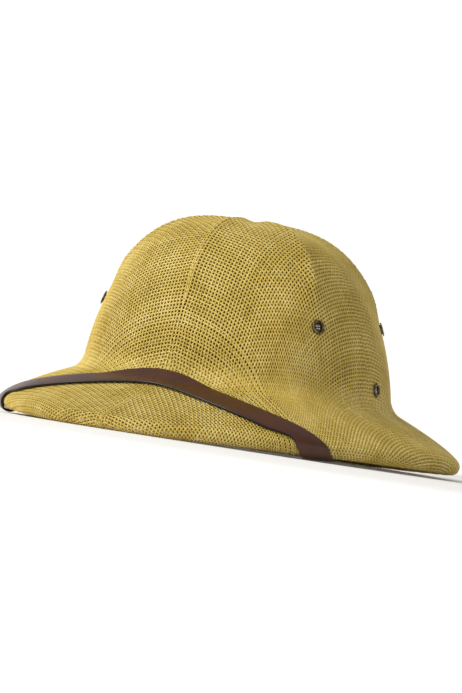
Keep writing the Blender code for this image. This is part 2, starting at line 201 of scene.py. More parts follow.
def grid_quads(rows: int, columns: int, closed_rows: bool, closed_columns: bool) -> np.ndarray:
    """Faces of a grid of points numbered row by row.

    Args:
        rows: Number of rows.
        columns: Number of points in a row.
        closed_rows: True if the last row joins the first.
        closed_columns: True if each row's last point joins its first.

    Returns:
        Vertex numbers of the faces, (count, 4).
    """
    row = np.arange(rows if closed_rows else rows - 1)[:, None]
    column = np.arange(columns if closed_columns else columns - 1)[None, :]
    below, beside = (row + 1) % rows, (column + 1) % columns
    corners = (row * columns + column, row * columns + beside,
               below * columns + beside, below * columns + column)
    return np.stack([corner + 0 * row + 0 * column for corner in corners], -1).reshape(-1, 4)


def unit(vectors: np.ndarray) -> np.ndarray:
    """Vectors scaled to length 1."""
    return vectors / np.maximum(np.linalg.norm(vectors, axis=-1, keepdims=True), TINY)


def smooth_step(value: np.ndarray | float) -> np.ndarray:
    """Ease from 0 to 1 with level ends: 3v^2 - 2v^3 on the clipped value."""
    share = np.clip(value, 0, 1)
    return share * share * (3 - 2 * share)


def spline(rows: np.ndarray, count: int) -> np.ndarray:
    """Catmull-Rom curve through rows of points.

    Each new row is the cubic through the two rows beside it, whose slopes there are half
    the step between the rows before and after.

    Args:
        rows: Points that the curve passes, (stations, ...).
        count: Number of rows wanted.

    Returns:
        Evenly spaced rows along the curve.
    """
    at = np.linspace(0, len(rows) - 1, count)
    low = np.clip(at.astype(int), 0, len(rows) - 2)
    share = (at - low).reshape((-1,) + (1,) * (rows.ndim - 1))
    ends = np.concatenate([2 * rows[:1] - rows[1:2], rows, 2 * rows[-1:] - rows[-2:-1]])
    before, here, after, later = (ends[low + step] for step in range(4))
    return 0.5 * (2 * here + (after - before) * share
                  + (2 * before - 5 * here + 4 * after - later) * share ** 2
                  + (3 * here - before - 3 * after + later) * share ** 3)


def read_off(place: np.ndarray, marks: np.ndarray, values: np.ndarray) -> np.ndarray:
    """Values read off along rows, by the straight line between the marks beside each place.

    Args:
        place: Where each row is read, (...).
        marks: Rising places of the row's values, (..., count).
        values: The row's values, (..., count).

    Returns:
        One value for each row, (...).
    """
    after = np.clip((marks <= place[..., None]).sum(-1, keepdims=True), 1, marks.shape[-1] - 1)
    start, end, low, high = (np.take_along_axis(table, after - step, -1)[..., 0]
                             for table in (marks, values) for step in (1, 0))
    return low + (high - low) * np.clip((place - start) / (end - start), 0, 1)


# ---------------------------------------------------------------- the hat's own form


@dataclass
class HatForm:
    """Outer surface of the straw wall, from the top of the crown to the end of the hem."""

    brim_half_width: float = 150.0 * MM
    brim_front: float = 169.0 * MM
    brim_back: float = 162.0 * MM
    brim_corner: float = -0.028
    crown_half_width: float = 98.0 * MM
    crown_front: float = 90.0 * MM
    crown_back: float = 110.0 * MM
    crown_corner: float = 0.04
    crown_y: float = -1.5 * MM
    crown_lean: float = 8.5 * MM
    crown_top: float = 144.5 * MM
    # a and b of the dome's outline, which shrinks by (1 - rise^a)^(1/b).
    shoulder_power: float = 1.44
    roof_power: float = 3.37
    join_front: float = 39.0 * MM
    join_side: float = 38.0 * MM
    join_back: float = 39.0 * MM
    # The cove's reach up the wall, and its reach out and its two pulls as shares of that.
    cove: float = 9.0 * MM
    cove_out: float = 0.5
    cove_wall_pull: float = 0.6
    cove_brim_pull: float = 0.5
    brim_start_slope: float = math.tan(math.radians(22))
    roll_radius: float = 5.5 * MM
    roll_start: float = math.radians(42)
    roll_step: float = math.radians(24)
    roll_steps: int = 8
    # Share of the brim's width at which the hem ends below it.
    hem_share: float = 0.62
    hem_gap: float = 0.8 * MM
    side_rise: float = 4.0 * MM
    rise_power: float = 1.2
    # The rim lies flat on the floor to this angle on each side of its front and back.
    rest_arc: float = math.radians(12)
    rib_count: int = 6
    rib_height: float = 3.0 * MM
    rib_spread: float = 6.5 * MM
    rib_soft: float = 1.2 * MM
    rib_fade_low: float = 90.0 * MM
    rib_fade_high: float = 112.0 * MM
    rib_merge: float = 15.0 * MM
    drape_height: float = 6.0 * MM
    drape_spread: float = 30.0 * MM
    drape_soft: float = 1.5 * MM
    drape_low: float = 40.0 * MM
    drape_high: float = 70.0 * MM
    drape_merge: float = 30.0 * MM
    side_samples: int = 2000
    crown_steps: int = 220
    cove_steps: int = 24
    brim_steps: int = 79
    rim_steps: int = 64
    hem_steps: int = 12
    hem_run_on: float = 30.0 * MM
    wall: float = 2.0 * MM

    @property
    def roll_seat(self) -> float:
        """Height of the roll's centre over its flat underside."""
        return self.roll_radius * math.cos(self.roll_step / 2)

    @staticmethod
    def plan(theta: np.ndarray, half_width: float, front: float, back: float,
             corner: float) -> tuple[np.ndarray, np.ndarray]:
        """Egg-shaped outline seen from above.

        x = half_width sin t (1 + 2 corner cos^2 t), and y = -reach cos t (1 + 2 corner
        sin^2 t), where reach runs from front to back with cos t.

        Args:
            theta: Angles round the hat.
            half_width: Half of the outline's width.
            front: Reach to the front.
            back: Reach to the back.
            corner: Push of the diagonals, out or in.

        Returns:
            x and y of the outline.
        """
        reach = (front + back) / 2 + (front - back) / 2 * np.cos(theta)
        x = half_width * np.sin(theta) * (1 + 2 * corner * np.cos(theta) ** 2)
        y = -reach * np.cos(theta) * (1 + 2 * corner * np.sin(theta) ** 2)
        return x, y

    def join_height(self, theta: np.ndarray) -> np.ndarray:
        """Height of the ideal corner between wall and brim: cos^2 t mixes side with ends.

        Args:
            theta: Angles round the hat.

        Returns:
            The heights.
        """
        forward = np.clip(np.cos(theta), 0, 1) ** 2
        backward = np.clip(-np.cos(theta), 0, 1) ** 2
        return (self.join_side + (self.join_front - self.join_side) * forward
                + (self.join_back - self.join_side) * backward)

    def rim_lift(self, theta: np.ndarray) -> np.ndarray:
        """Height of the rim's underside: 0 in front and behind, rising with a power of |sin t|.

        Args:
            theta: Angles round the hat.

        Returns:
            The heights.
        """
        start = math.sin(self.rest_arc)
        share = np.clip(np.abs(np.sin(theta)) - start, 0, 1) / (1 - start)
        return self.side_rise * share ** self.rise_power

    def crown_point(self, theta: np.ndarray, rise: np.ndarray) -> np.ndarray:
        """Point of the plain dome.

        The outline shrinks by (1 - rise^a)^(1/b) as it climbs, and leans to the front.

        Args:
            theta: Angles round the hat.
            rise: 0 at the join with the brim, 1 at the top.

        Returns:
            Points, (..., 3).
        """
        climb = np.clip(rise, 0, 1)
        across = (1 - climb ** self.shoulder_power) ** (1 / self.roof_power)
        x, y = self.plan(theta, self.crown_half_width, self.crown_front, self.crown_back,
                         self.crown_corner)
        foot = self.join_height(theta)
        height = foot + (self.crown_top - foot) * rise
        x, y = x * across, y * across + self.crown_y - self.crown_lean * climb
        return np.stack(np.broadcast_arrays(x, y, height), -1)

    def crown_rises(self, count: int) -> np.ndarray:
        """Rises evenly spaced along the dome's side, from the top to the cove.

        The side is at across = (cos t)^(2/b) and rise = (sin t)^(2/a) for t from 0 to a
        quarter turn, and its length is summed up and read off in even steps.

        Args:
            count: Number of steps.

        Returns:
            The rises, one more than the steps.
        """
        angle = np.linspace(0, math.pi / 2, self.side_samples)
        rise = np.sin(angle) ** (2 / self.shoulder_power)
        across = np.cos(angle) ** (2 / self.roof_power)
        steps = np.hypot(np.diff(across) * self.crown_half_width,
                         np.diff(rise) * (self.crown_top - self.join_side))
        path = np.concatenate([[0], np.cumsum(steps)])
        return np.interp(np.linspace(path[-1], self.cove, count + 1), path, rise)

    def brim_frame(self, theta: np.ndarray) -> tuple[np.ndarray, np.ndarray, np.ndarray]:
        """Join, direction and width of the brim: from the dome's foot to the rim's outline.

        Args:
            theta: Angles round the hat.

        Returns:
            Join points and level outward directions, (..., 3), and widths.
        """
        join = self.crown_point(theta, np.zeros_like(theta))
        x, y = self.plan(theta, self.brim_half_width, self.brim_front, self.brim_back,
                         self.brim_corner)
        shift = (self.brim_front - self.brim_back) / 2
        reach = np.stack([x - join[..., 0], y + shift - join[..., 1]], -1)
        width = np.linalg.norm(reach, axis=-1)
        out = np.concatenate([reach / width[..., None], np.zeros_like(reach[..., :1])], -1)
        return join, out, width

    def brim_curve(self, theta: np.ndarray, share: np.ndarray) -> tuple[np.ndarray, np.ndarray]:
        """Brim between join and roll.

        A quadratic Bezier curve whose middle point is where the two end slopes meet.

        Args:
            theta: Angles round the hat.
            share: 0 at the join, 1 where the roll starts.

        Returns:
            Distances out from the join, and heights.
        """
        foot = self.join_height(theta)
        width = self.brim_frame(theta)[2]
        end_out = width - self.roll_radius * (1 - math.cos(self.roll_start))
        end_height = (self.rim_lift(theta) + self.roll_seat
                      + self.roll_radius * math.sin(self.roll_start))
        end_slope = 1 / math.tan(self.roll_start)
        drop = foot - end_height
        knee_out = (end_slope * end_out - drop) / (end_slope - self.brim_start_slope)
        knee_height = foot - self.brim_start_slope * knee_out
        near, middle, far = (1 - share) ** 2, 2 * share * (1 - share), share ** 2
        out = middle * knee_out + far * end_out
        return out, near * foot + middle * knee_height + far * end_height

    def roll_curve(self, theta: np.ndarray, angle: np.ndarray) -> tuple[np.ndarray, np.ndarray]:
        """Rolled rim: a circle whose outermost point is the rim.

        Args:
            theta: Angles round the hat.
            angle: Angles round the circle, 0 at the rim and growing upwards.

        Returns:
            Distances out from the join, and heights.
        """
        width = self.brim_frame(theta)[2]
        out = width - self.roll_radius + self.roll_radius * np.cos(angle)
        height = self.rim_lift(theta) + self.roll_seat + self.roll_radius * np.sin(angle)
        return out, height

    def hem_end(self, theta: np.ndarray) -> tuple[np.ndarray, np.ndarray]:
        """End of the hem: two walls and a gap below the brim's face, square to it.

        Args:
            theta: Angles round the hat.

        Returns:
            Distances out from the join, and heights.
        """
        step = 0.001
        out, height = self.brim_curve(theta, self.hem_share)
        ahead, lower = self.brim_curve(theta, self.hem_share + step)
        size = np.hypot(ahead - out, lower - height)
        depth = 2 * self.wall + self.hem_gap
        return out + (lower - height) / size * depth, height - (ahead - out) / size * depth

    def place(self, theta: np.ndarray, out: np.ndarray, height: np.ndarray) -> np.ndarray:
        """Point on the way out from the join.

        Args:
            theta: Angles round the hat.
            out: Distances out from the join.
            height: Heights.

        Returns:
            Points, (..., 3).
        """
        join, direction, _ = self.brim_frame(theta)
        point = join + direction * np.asarray(out)[..., None]
        point[..., 2] = height
        return point

    def rib_relief(self, points: np.ndarray) -> np.ndarray:
        """How far the ribs lift each point of the crown.

        The largest of six ridges exp((soft - sqrt(d^2 + soft^2)) / spread), d being the
        distance from a rib's line, faded out low on the wall and near the top.

        Args:
            points: Points of the plain surface, (..., 3).

        Returns:
            The lifts.
        """
        centre = np.array([0.0, self.crown_y - self.crown_lean])
        offset = points[..., :2] - centre
        radius = np.linalg.norm(offset, axis=-1)
        azimuth = np.arctan2(offset[..., 0], -offset[..., 1])
        relief = np.zeros_like(radius)
        for index in range(self.rib_count):
            angle = np.array(2 * math.pi * index / self.rib_count)
            rib = self.crown_point(angle, np.array(0.5))[:2] - centre
            turn = azimuth - math.atan2(rib[0], -rib[1])
            distance = radius * (np.mod(turn + math.pi, 2 * math.pi) - math.pi)
            away = np.hypot(distance, self.rib_soft) - self.rib_soft
            relief = np.maximum(relief, np.exp(-away / self.rib_spread))
        fade = smooth_step((points[..., 2] - self.rib_fade_low)
                           / (self.rib_fade_high - self.rib_fade_low))
        return self.rib_height * relief * fade * smooth_step(radius / self.rib_merge)

    def drape_relief(self, points: np.ndarray) -> np.ndarray:
        """How far the form that the straw is draped over stands off the plain dome.

        A soft ridge in front and one behind, each height exp(-sqrt(d^2 + soft^2) / spread), d
        being the distance from the ridge's line. They fade out low on the wall and at the
        top, and turn the strands as pressing turned the real ones.

        Args:
            points: Points of the plain surface, (..., 3).

        Returns:
            The lifts.
        """
        offset = points[..., :2] - np.array([0.0, self.crown_y - self.crown_lean])
        radius = np.linalg.norm(offset, axis=-1)
        azimuth = np.arctan2(offset[..., 0], -offset[..., 1])
        turns = np.stack([np.abs(azimuth), math.pi - np.abs(azimuth)])
        ridges = np.exp(-np.hypot(radius * turns, self.drape_soft) / self.drape_spread).sum(0)
        fade = smooth_step((points[..., 2] - self.drape_low) / (self.drape_high - self.drape_low))
        merge = 1 - np.exp(-(radius / self.drape_merge) ** 2)
        return self.drape_height * ridges * fade * merge

    def meridians(self, theta: np.ndarray) -> tuple[np.ndarray, int]:
        """Dense outer surface without its ribs, as rows of points from the top to past the hem.

        Crown rows follow the dome, the cove is a cubic Bezier curve between wall and brim,
        then come the brim's curve, the rim's circle and the straight hem, which is carried
        on past its end in its own direction.

        Args:
            theta: Angles round the hat.

        Returns:
            The rows, (rows, angles, 3), and the number of the row where the hem ends.
        """
        rows = [self.crown_point(theta, np.full_like(theta, rise))
                for rise in self.crown_rises(self.crown_steps)]
        upper = rows[-1]
        wall_run = self.crown_point(theta, np.zeros_like(theta)) - upper
        share = (self.cove / self.brim_frame(theta)[2]) * self.cove_out
        lower = self.place(theta, *self.brim_curve(theta, share))
        ahead = self.place(theta, *self.brim_curve(theta, share + share / 2))
        first = upper + wall_run * self.cove_wall_pull
        second = lower - unit(ahead - lower) * self.cove * self.cove_brim_pull
        for step in np.linspace(0, 1, self.cove_steps + 1)[1:]:
            rest = 1 - step
            rows.append(rest ** 3 * upper + 3 * rest ** 2 * step * first
                        + 3 * rest * step ** 2 * second + step ** 3 * lower)
        for step in np.linspace(0, 1, self.brim_steps + 1)[1:]:
            rows.append(self.place(theta, *self.brim_curve(theta, share + (1 - share) * step)))
        finish = self.roll_start - self.roll_step * self.roll_steps
        for angle in np.linspace(self.roll_start, finish, self.rim_steps + 1)[1:]:
            rows.append(self.place(theta, *self.roll_curve(theta, angle)))
        start, end = rows[-1], self.place(theta, *self.hem_end(theta))
        for step in np.linspace(0, 1, self.hem_steps + 1)[1:]:
            rows.append(start * (1 - step) + end * step)
        last = len(rows) - 1
        rows.append(end + unit(end - start) * self.hem_run_on)
        return np.array(rows), last

    def crown_spot(self, theta: np.ndarray | float,
                   height: np.ndarray | float) -> tuple[np.ndarray, np.ndarray]:
        """Place on the plain dome's wall; its normal is square to two small steps on it.

        Args:
            theta: Angles round the hat.
            height: Heights.

        Returns:
            Points and outward normals, (..., 3).
        """
        foot = self.join_height(theta)
        rise = (height - foot) / (self.crown_top - foot)
        step = 1e-4
        point = self.crown_point(np.array(theta), np.array(rise))
        around = self.crown_point(np.array(theta + step), np.array(rise)) - point
        up = self.crown_point(np.array(theta), np.array(rise + step)) - point
        return point, unit(np.cross(around, up))


def grid_normals(rows: np.ndarray) -> np.ndarray:
    """Outward normals of a grid of rows: down the meridian crossed with round the hat.

    Args:
        rows: Points from the top down, (rows, angles, 3).

    Returns:
        The normals, (rows, angles, 3).
    """
    down = np.gradient(rows, axis=0)
    around = np.gradient(rows, axis=1)
    around[0] = around[1]
    normal = unit(np.cross(down, around))
    normal[0] = (0, 0, 1)
    return normal


# ---------------------------------------------------------------- straw weave


@dataclass
class HatChart:
    """The hat's surface unrolled: a flat map whose radius is the way down from the top.

    A point (u, v) of the map is at r = |(u, v)| along the meridian of angle atan2(u, v).
    Only the left half is tabled, and the right half is its mirror image. The guide is the
    surface that the straw is draped over, and the points are where it comes to lie.
    """

    form: HatForm
    angle_count: int = 361
    margin: int = 2
    spacing: float = 0.5 * MM
    run_on: float = 28.0 * MM
    points: np.ndarray = field(init=False)
    normals: np.ndarray = field(init=False)
    guide: np.ndarray = field(init=False)
    ends: np.ndarray = field(init=False)
    joins: np.ndarray = field(init=False)

    def __post_init__(self) -> None:
        """Table the surfaces at even steps of arc length along each meridian."""
        form, inner = self.form, slice(self.margin, -self.margin)
        wide = np.arange(-self.margin, self.angle_count + self.margin)
        plain, last = form.meridians(wide * math.pi / (self.angle_count - 1))
        outward = grid_normals(plain)
        ribbed = plain + outward * form.rib_relief(plain)[..., None]
        draped = plain + outward * form.drape_relief(plain)[..., None]
        steps = np.linalg.norm(np.diff(ribbed, axis=0), axis=-1)
        path = np.concatenate([np.zeros((1, len(wide))), np.cumsum(steps, axis=0)])[:, inner]
        self.ends, self.joins = path[last], path[form.crown_steps + form.cove_steps // 2]
        at = np.arange(0, self.ends.max() + self.run_on, self.spacing)
        self.points = self._table(path, ribbed[:, inner], at)
        self.normals = unit(self._table(path, grid_normals(ribbed)[:, inner], at))
        self.guide = self._table(path, draped[:, inner], at)

    @staticmethod
    def _table(path: np.ndarray, rows: np.ndarray, at: np.ndarray) -> np.ndarray:
        """Vectors of each meridian read off at even arc lengths, (angles, lengths, 3)."""
        return np.stack([np.stack([np.interp(at, path[:, column], rows[:, column, axis])
                                   for axis in range(3)], -1) for column in range(path.shape[1])])

    def _polar(self, flat: np.ndarray) -> tuple[np.ndarray, np.ndarray]:
        """Meridian number and arc length of map points, as if u were above 0."""
        theta = np.arctan2(np.abs(flat[..., 0]), flat[..., 1])
        return theta / math.pi * (self.angle_count - 1), np.hypot(flat[..., 0], flat[..., 1])

    def _read(self, table: np.ndarray, flat: np.ndarray) -> np.ndarray:
        """Bilinear reading of a table of vectors at map points, mirrored for u below 0.

        Args:
            table: Vectors by meridian and arc length, (angles, lengths, 3).
            flat: Map points, (..., 2).

        Returns:
            The vectors, (..., 3).
        """
        column, length = self._polar(flat)
        row = length / self.spacing
        c = np.clip(column.astype(int), 0, self.angle_count - 2)
        r = np.clip(row.astype(int), 0, table.shape[1] - 2)
        fc, fr = (column - c)[..., None], np.clip(row - r, 0, 1)[..., None]
        value = ((table[c, r] * (1 - fr) + table[c, r + 1] * fr) * (1 - fc)
                 + (table[c + 1, r] * (1 - fr) + table[c + 1, r + 1] * fr) * fc)
        value[..., 0] *= np.where(flat[..., 0] < 0, -1.0, 1.0)
        return value

    def point(self, flat: np.ndarray) -> np.ndarray:
        """Surface points of map points."""
        return self._read(self.points, flat)

    def guide_point(self, flat: np.ndarray) -> np.ndarray:
        """Points of the guide at map points."""
        return self._read(self.guide, flat)

    def normal(self, flat: np.ndarray) -> np.ndarray:
        """Outward normals at map points."""
        return unit(self._read(self.normals, flat))

    def way_left(self, flat: np.ndarray, table: np.ndarray) -> np.ndarray:
        """Arc length from map points on to a tabled line, below 0 past it."""
        column, length = self._polar(flat)
        return np.interp(column, np.arange(self.angle_count), table) - length


class Run(Enum):
    """The two directions of a plain weave."""

    LENGTHWISE = "lengthwise"
    CROSSWISE = "crosswise"


class Region(Enum):
    """The two parts of the hat that the weave is split between."""

    CROWN = "crown"
    BRIM = "brim"


@dataclass
class StrawWeave:
    """Plain weave of flat straw strands, draped over the hat like a pin-jointed net.

    Lengthwise strands run from front to back and crosswise ones from side to side. Each
    crossing keeps its distance to the next along both strands, so the squares shear into
    diamonds on the diagonals of the dome, as real woven straw does when it is pressed.
    """

    form: HatForm
    pitch: float = 2.42 * MM
    # Share of the way to the next strand that a strand fills: near, and far along a bearing.
    cover: float = 0.58
    far_cover: float = 0.96
    far_from: float = -20.0 * MM
    far_to: float = 50.0 * MM
    far_bearing: float = math.radians(45)
    right_slant: float = math.radians(0.8)
    closed_band: float = 13.0 * MM
    half_thickness: float = 0.30 * MM
    lift: float = 0.22 * MM
    # Share that is filled where the strands crowd, at this sine of their angle and below.
    crowding: float = 0.96
    crowded_lean: float = 0.42
    free_lean: float = 0.62
    # The net is carried on this far past the hem, so that the last crossings have neighbours.
    overrun: float = 10 * MM
    hole_radius: float = 3.3 * MM
    hole_reach: float = 33.0 * MM
    stagger: float = 91 * MM
    width_spread: float = 0.025
    width_drift: float = 0.025
    narrowest: float = 0.8
    widest: float = 1.15
    side_drift: float = 0.02 * MM
    drift_window: int = 9
    strand_tone: float = 0.2
    drift_tone: float = 0.25
    # Painted shade of the weave: a strand is painted lighter where it passes over another and
    # darker where it dives under.
    painted_over_under_shade: float = 0.1
    # Painted light on a strand's outer face, one edge, inner face and other edge: a painted
    # highlight on the outer face and strong painted shade on the inner face.
    painted_light_by_side: tuple[float, ...] = (0.3, 0.0, -3.0, 0.0)
    count: int = 118
    rounds: int = 7
    longest_move: float = 0.6 * MM
    seed: int = 7
    chart: HatChart = field(init=False)

    def __post_init__(self) -> None:
        """Make the chart of the hat that the net is laid on."""
        self.chart = HatChart(self.form)

    def _meet(self, flat: np.ndarray, first: np.ndarray, second: np.ndarray) -> np.ndarray:
        """Move map points until each is one pitch from two known crossings.

        Newton's method on |P - A|^2 = |P - B|^2 = pitch^2 with slopes from small steps.

        Args:
            flat: First guess of the map points, (count, 2).
            first: One known crossing of each, (count, 3).
            second: The other known crossing, (count, 3).

        Returns:
            The map points, (count, 2).
        """
        step = 0.02 * MM
        for _ in range(self.rounds):
            here = self.chart.guide_point(flat)
            along_u = (self.chart.guide_point(flat + np.array([step, 0.0])) - here) / step
            along_v = (self.chart.guide_point(flat + np.array([0.0, step])) - here) / step
            to_first, to_second = here - first, here - second
            miss_a, miss_b = ((way ** 2).sum(-1) - self.pitch ** 2 for way in (to_first, to_second))
            a_u, a_v, b_u, b_v = (2 * (way * along).sum(-1) for way in (to_first, to_second)
                                  for along in (along_u, along_v))
            size = a_u * b_v - a_v * b_u
            size = np.where(np.abs(size) < TINY, TINY, size)
            move = np.stack([b_v * miss_a - a_v * miss_b, a_u * miss_b - b_u * miss_a], -1)
            move /= size[..., None]
            length = np.maximum(np.linalg.norm(move, axis=-1, keepdims=True), TINY)
            flat = flat - move * np.minimum(1, self.longest_move / length)
        return flat

    def _quarter(self, forward: float, slant: float) -> np.ndarray:
        """Crossings of one quarter of the net as map points, (side steps, length steps, 2).

        The front or back meridian and the side meridian are walked in even steps. Every
        other crossing follows from the two before it, one anti-diagonal at a time.

        Args:
            forward: 1 for the front quarter, -1 for the back one.
            slant: Angle that the side meridian is turned forward by.

        Returns:
            The crossings, with no number past the hem.
        """
        size = self.count + 1
        walk = np.arange(size) * self.pitch
        flat = np.full((size, size, 2), np.nan)
        flat[0, :, 0], flat[0, :, 1] = 0.0, walk * forward
        flat[:, 0, 0], flat[:, 0, 1] = walk * math.cos(slant), walk * math.sin(slant)
        inside = np.zeros((size, size), bool)
        for line in (np.s_[0, :], np.s_[:, 0]):
            inside[line] = self.chart.way_left(flat[line], self.chart.ends) > -self.overrun
        for total in range(2, 2 * size - 1):
            i = np.arange(max(1, total - size + 1), min(total, size))
            j = total - i
            keep = (j >= 1) & (j < size)
            i, j = i[keep], j[keep]
            known = inside[i - 1, j] & inside[i, j - 1]
            i, j = i[known], j[known]
            if not len(i):
                continue
            first, second, corner = flat[i - 1, j], flat[i, j - 1], flat[i - 1, j - 1]
            found = self._meet(first + second - corner, self.chart.guide_point(first),
                               self.chart.guide_point(second))
            flat[i, j] = found
            inside[i, j] = self.chart.way_left(found, self.chart.ends) > -self.overrun
        flat[~inside] = np.nan
        return flat

    def net(self) -> np.ndarray:
        """All crossings of the net.

        The right half is slanted a little, as no real weave is an exact mirror image.

        Returns:
            Map points by place from side to side and from back to front, (sides, lengths, 2).
        """
        left, right = (np.concatenate([self._quarter(-1.0, slant)[:, :0:-1],
                                       self._quarter(1.0, slant)], axis=1)
                       for slant in (0.0, self.right_slant))
        return np.concatenate([right[:0:-1] * np.array([-1.0, 1.0]), left], axis=0)

    def _clear(self, points: np.ndarray,
               holes: Sequence[tuple[np.ndarray, np.ndarray]]) -> np.ndarray:
        """Which crossings are farther from each eyelet's axis than the hole's radius.

        Args:
            points: Crossings.
            holes: Point and axis of each eyelet.

        Returns:
            True for each crossing that stays.
        """
        clear = np.ones(points.shape[:-1], bool)
        for centre, axis in holes:
            offset = points - centre
            aside = offset - (offset @ axis)[..., None] * axis
            clear &= ((np.linalg.norm(aside, axis=-1) > self.hole_radius)
                      | (np.linalg.norm(offset, axis=-1) > self.hole_reach))
        return clear

    def _widths(self, points: np.ndarray, lean: np.ndarray, to_join: np.ndarray) -> np.ndarray:
        """Width of the strands at each crossing.

        It is a share of the way to the next strand, which is pitch times the sine of the
        angle between the strands. The share grows until the holes close where the weave is
        sheared the most and along the fold between crown and brim. It is also greater
        behind and on the wearer's right, where the straw is stretched less.

        Args:
            points: Crossings.
            lean: Sine of the angle between the strands.
            to_join: Way along the surface to the fold.

        Returns:
            The widths.
        """
        free = (smooth_step((lean - self.crowded_lean) / (self.free_lean - self.crowded_lean))
                * smooth_step(np.abs(to_join) / self.closed_band))
        away = (points[..., 1] * math.cos(self.far_bearing)
                - points[..., 0] * math.sin(self.far_bearing))
        far = smooth_step((away - self.far_from) / (self.far_to - self.far_from))
        cover = self.cover + (self.far_cover - self.cover) * far
        return (self.crowding + (cover - self.crowding) * free) * self.pitch * lean

    def build(self, material: bpy.types.Material,
              holes: Sequence[tuple[np.ndarray, np.ndarray]]) -> list[bpy.types.Object]:
        """Make the strands of both directions, split between crown and brim.

        A strand is a tube whose ring at each crossing is a flat diamond, lifted over or
        pushed under the other strand in turn. The outer face carries a painted highlight
        over the edges, the inner face strong painted shade, and each dive under another strand
        painted shade.

        Args:
            material: Straw material.
            holes: Point and axis of each eyelet, where the strands are cut away.

        Returns:
            The four pieces.
        """
        flat = self.net()
        safe = np.nan_to_num(flat)
        known = ~np.isnan(flat[..., 0])
        points, normals = self.chart.point(safe), self.chart.normal(safe)
        inside = (known & (self.chart.way_left(safe, self.chart.ends) > 0)
                  & self._clear(points, holes))
        to_join = self.chart.way_left(safe, self.chart.joins)
        on_crown = to_join > 0
        runs = {Run.LENGTHWISE: self._direction(points, known, 1),
                Run.CROSSWISE: self._direction(points, known, 0)}
        lean = np.linalg.norm(np.cross(runs[Run.LENGTHWISE], runs[Run.CROSSWISE]), axis=-1)
        width = self._widths(points, lean, to_join)
        rng = np.random.default_rng(self.seed)
        index = np.indices(known.shape)
        over = np.where((index[0] + index[1]) % 2 == 0, 1.0, -1.0)
        numbers = np.arange(known.size).reshape(known.shape)
        pieces = []
        for run, axis in ((Run.LENGTHWISE, 1), (Run.CROSSWISE, 0)):
            strands = index[1 - axis]
            tone = rng.normal(0, 1, known.shape[1 - axis])[strands]
            drift = self._wander(rng, known.shape, axis)
            swell = (1 + self.width_spread * rng.normal(0, 1, known.shape[1 - axis])[strands]
                     + self.width_drift * drift)
            side = unit(np.cross(normals, runs[run]))
            sign = over if run is Run.LENGTHWISE else -over
            sink = self.half_thickness + self.lift
            centre = (points + normals * (sign * self.lift - sink)[..., None]
                      + side * (self.side_drift * drift)[..., None])
            half = (width * np.clip(swell, self.narrowest, self.widest) / 2)[..., None] * side
            thick = normals * self.half_thickness
            ring = np.stack([centre + thick, centre + half, centre - thick, centre - half], -2)
            facing_out = np.stack([normals, side, -normals, -side], -2)
            # Random strand tone plus painted light: painted highlight on the outer faces and
            # crests, painted shade on the inner faces and where a strand dives under.
            shade = (self.strand_tone * tone + self.drift_tone * drift
                     + self.painted_over_under_shade * sign)[..., None] + self.painted_light_by_side
            place = index[axis] * self.pitch + strands * self.stagger
            before, after = [slice(None)] * 2, [slice(None)] * 2
            before[axis], after[axis] = slice(0, -1), slice(1, None)
            starts, ends = tuple(before), tuple(after)
            joined, crown = inside[starts] & inside[ends], on_crown[starts]
            for region in Region:
                pick = joined & (crown if region is Region.CROWN else ~crown)
                pieces.append(self._strands(
                    f"straw_{region.value}_{run.value}", ring.reshape(-1, 4, 3),
                    facing_out.reshape(-1, 4, 3), place.ravel(), numbers[starts][pick],
                    numbers[ends][pick], shade.reshape(-1, 4), material))
        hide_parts("straw_shell")
        return pieces

    @staticmethod
    def _direction(points: np.ndarray, known: np.ndarray, axis: int) -> np.ndarray:
        """Direction of the strands along an axis of the net: from one neighbour to the next.

        Args:
            points: Crossings.
            known: True where a crossing lies on the hat.
            axis: Axis of the net.

        Returns:
            Unit vectors.
        """
        ahead, behind = np.roll(points, -1, axis), np.roll(points, 1, axis)
        ahead = np.where(np.roll(known, -1, axis)[..., None], ahead, points)
        behind = np.where(np.roll(known, 1, axis)[..., None], behind, points)
        return unit(ahead - behind)

    def _wander(self, rng: np.random.Generator, shape: tuple[int, int], axis: int) -> np.ndarray:
        """Slow seeded noise along each strand: normal numbers smoothed by a sliding mean.

        Args:
            rng: Source of the numbers.
            shape: Shape of the net.
            axis: Axis that the strands run along.

        Returns:
            Noise of about unit spread, in the net's shape.
        """
        noise, window = rng.normal(0, 1, shape), self.drift_window
        total = np.cumsum(np.concatenate([noise, np.take(noise, range(window), axis)], axis), axis)
        ahead = np.take(total, range(window, window + shape[axis]), axis)
        return (ahead - np.take(total, range(shape[axis]), axis)) / math.sqrt(window)

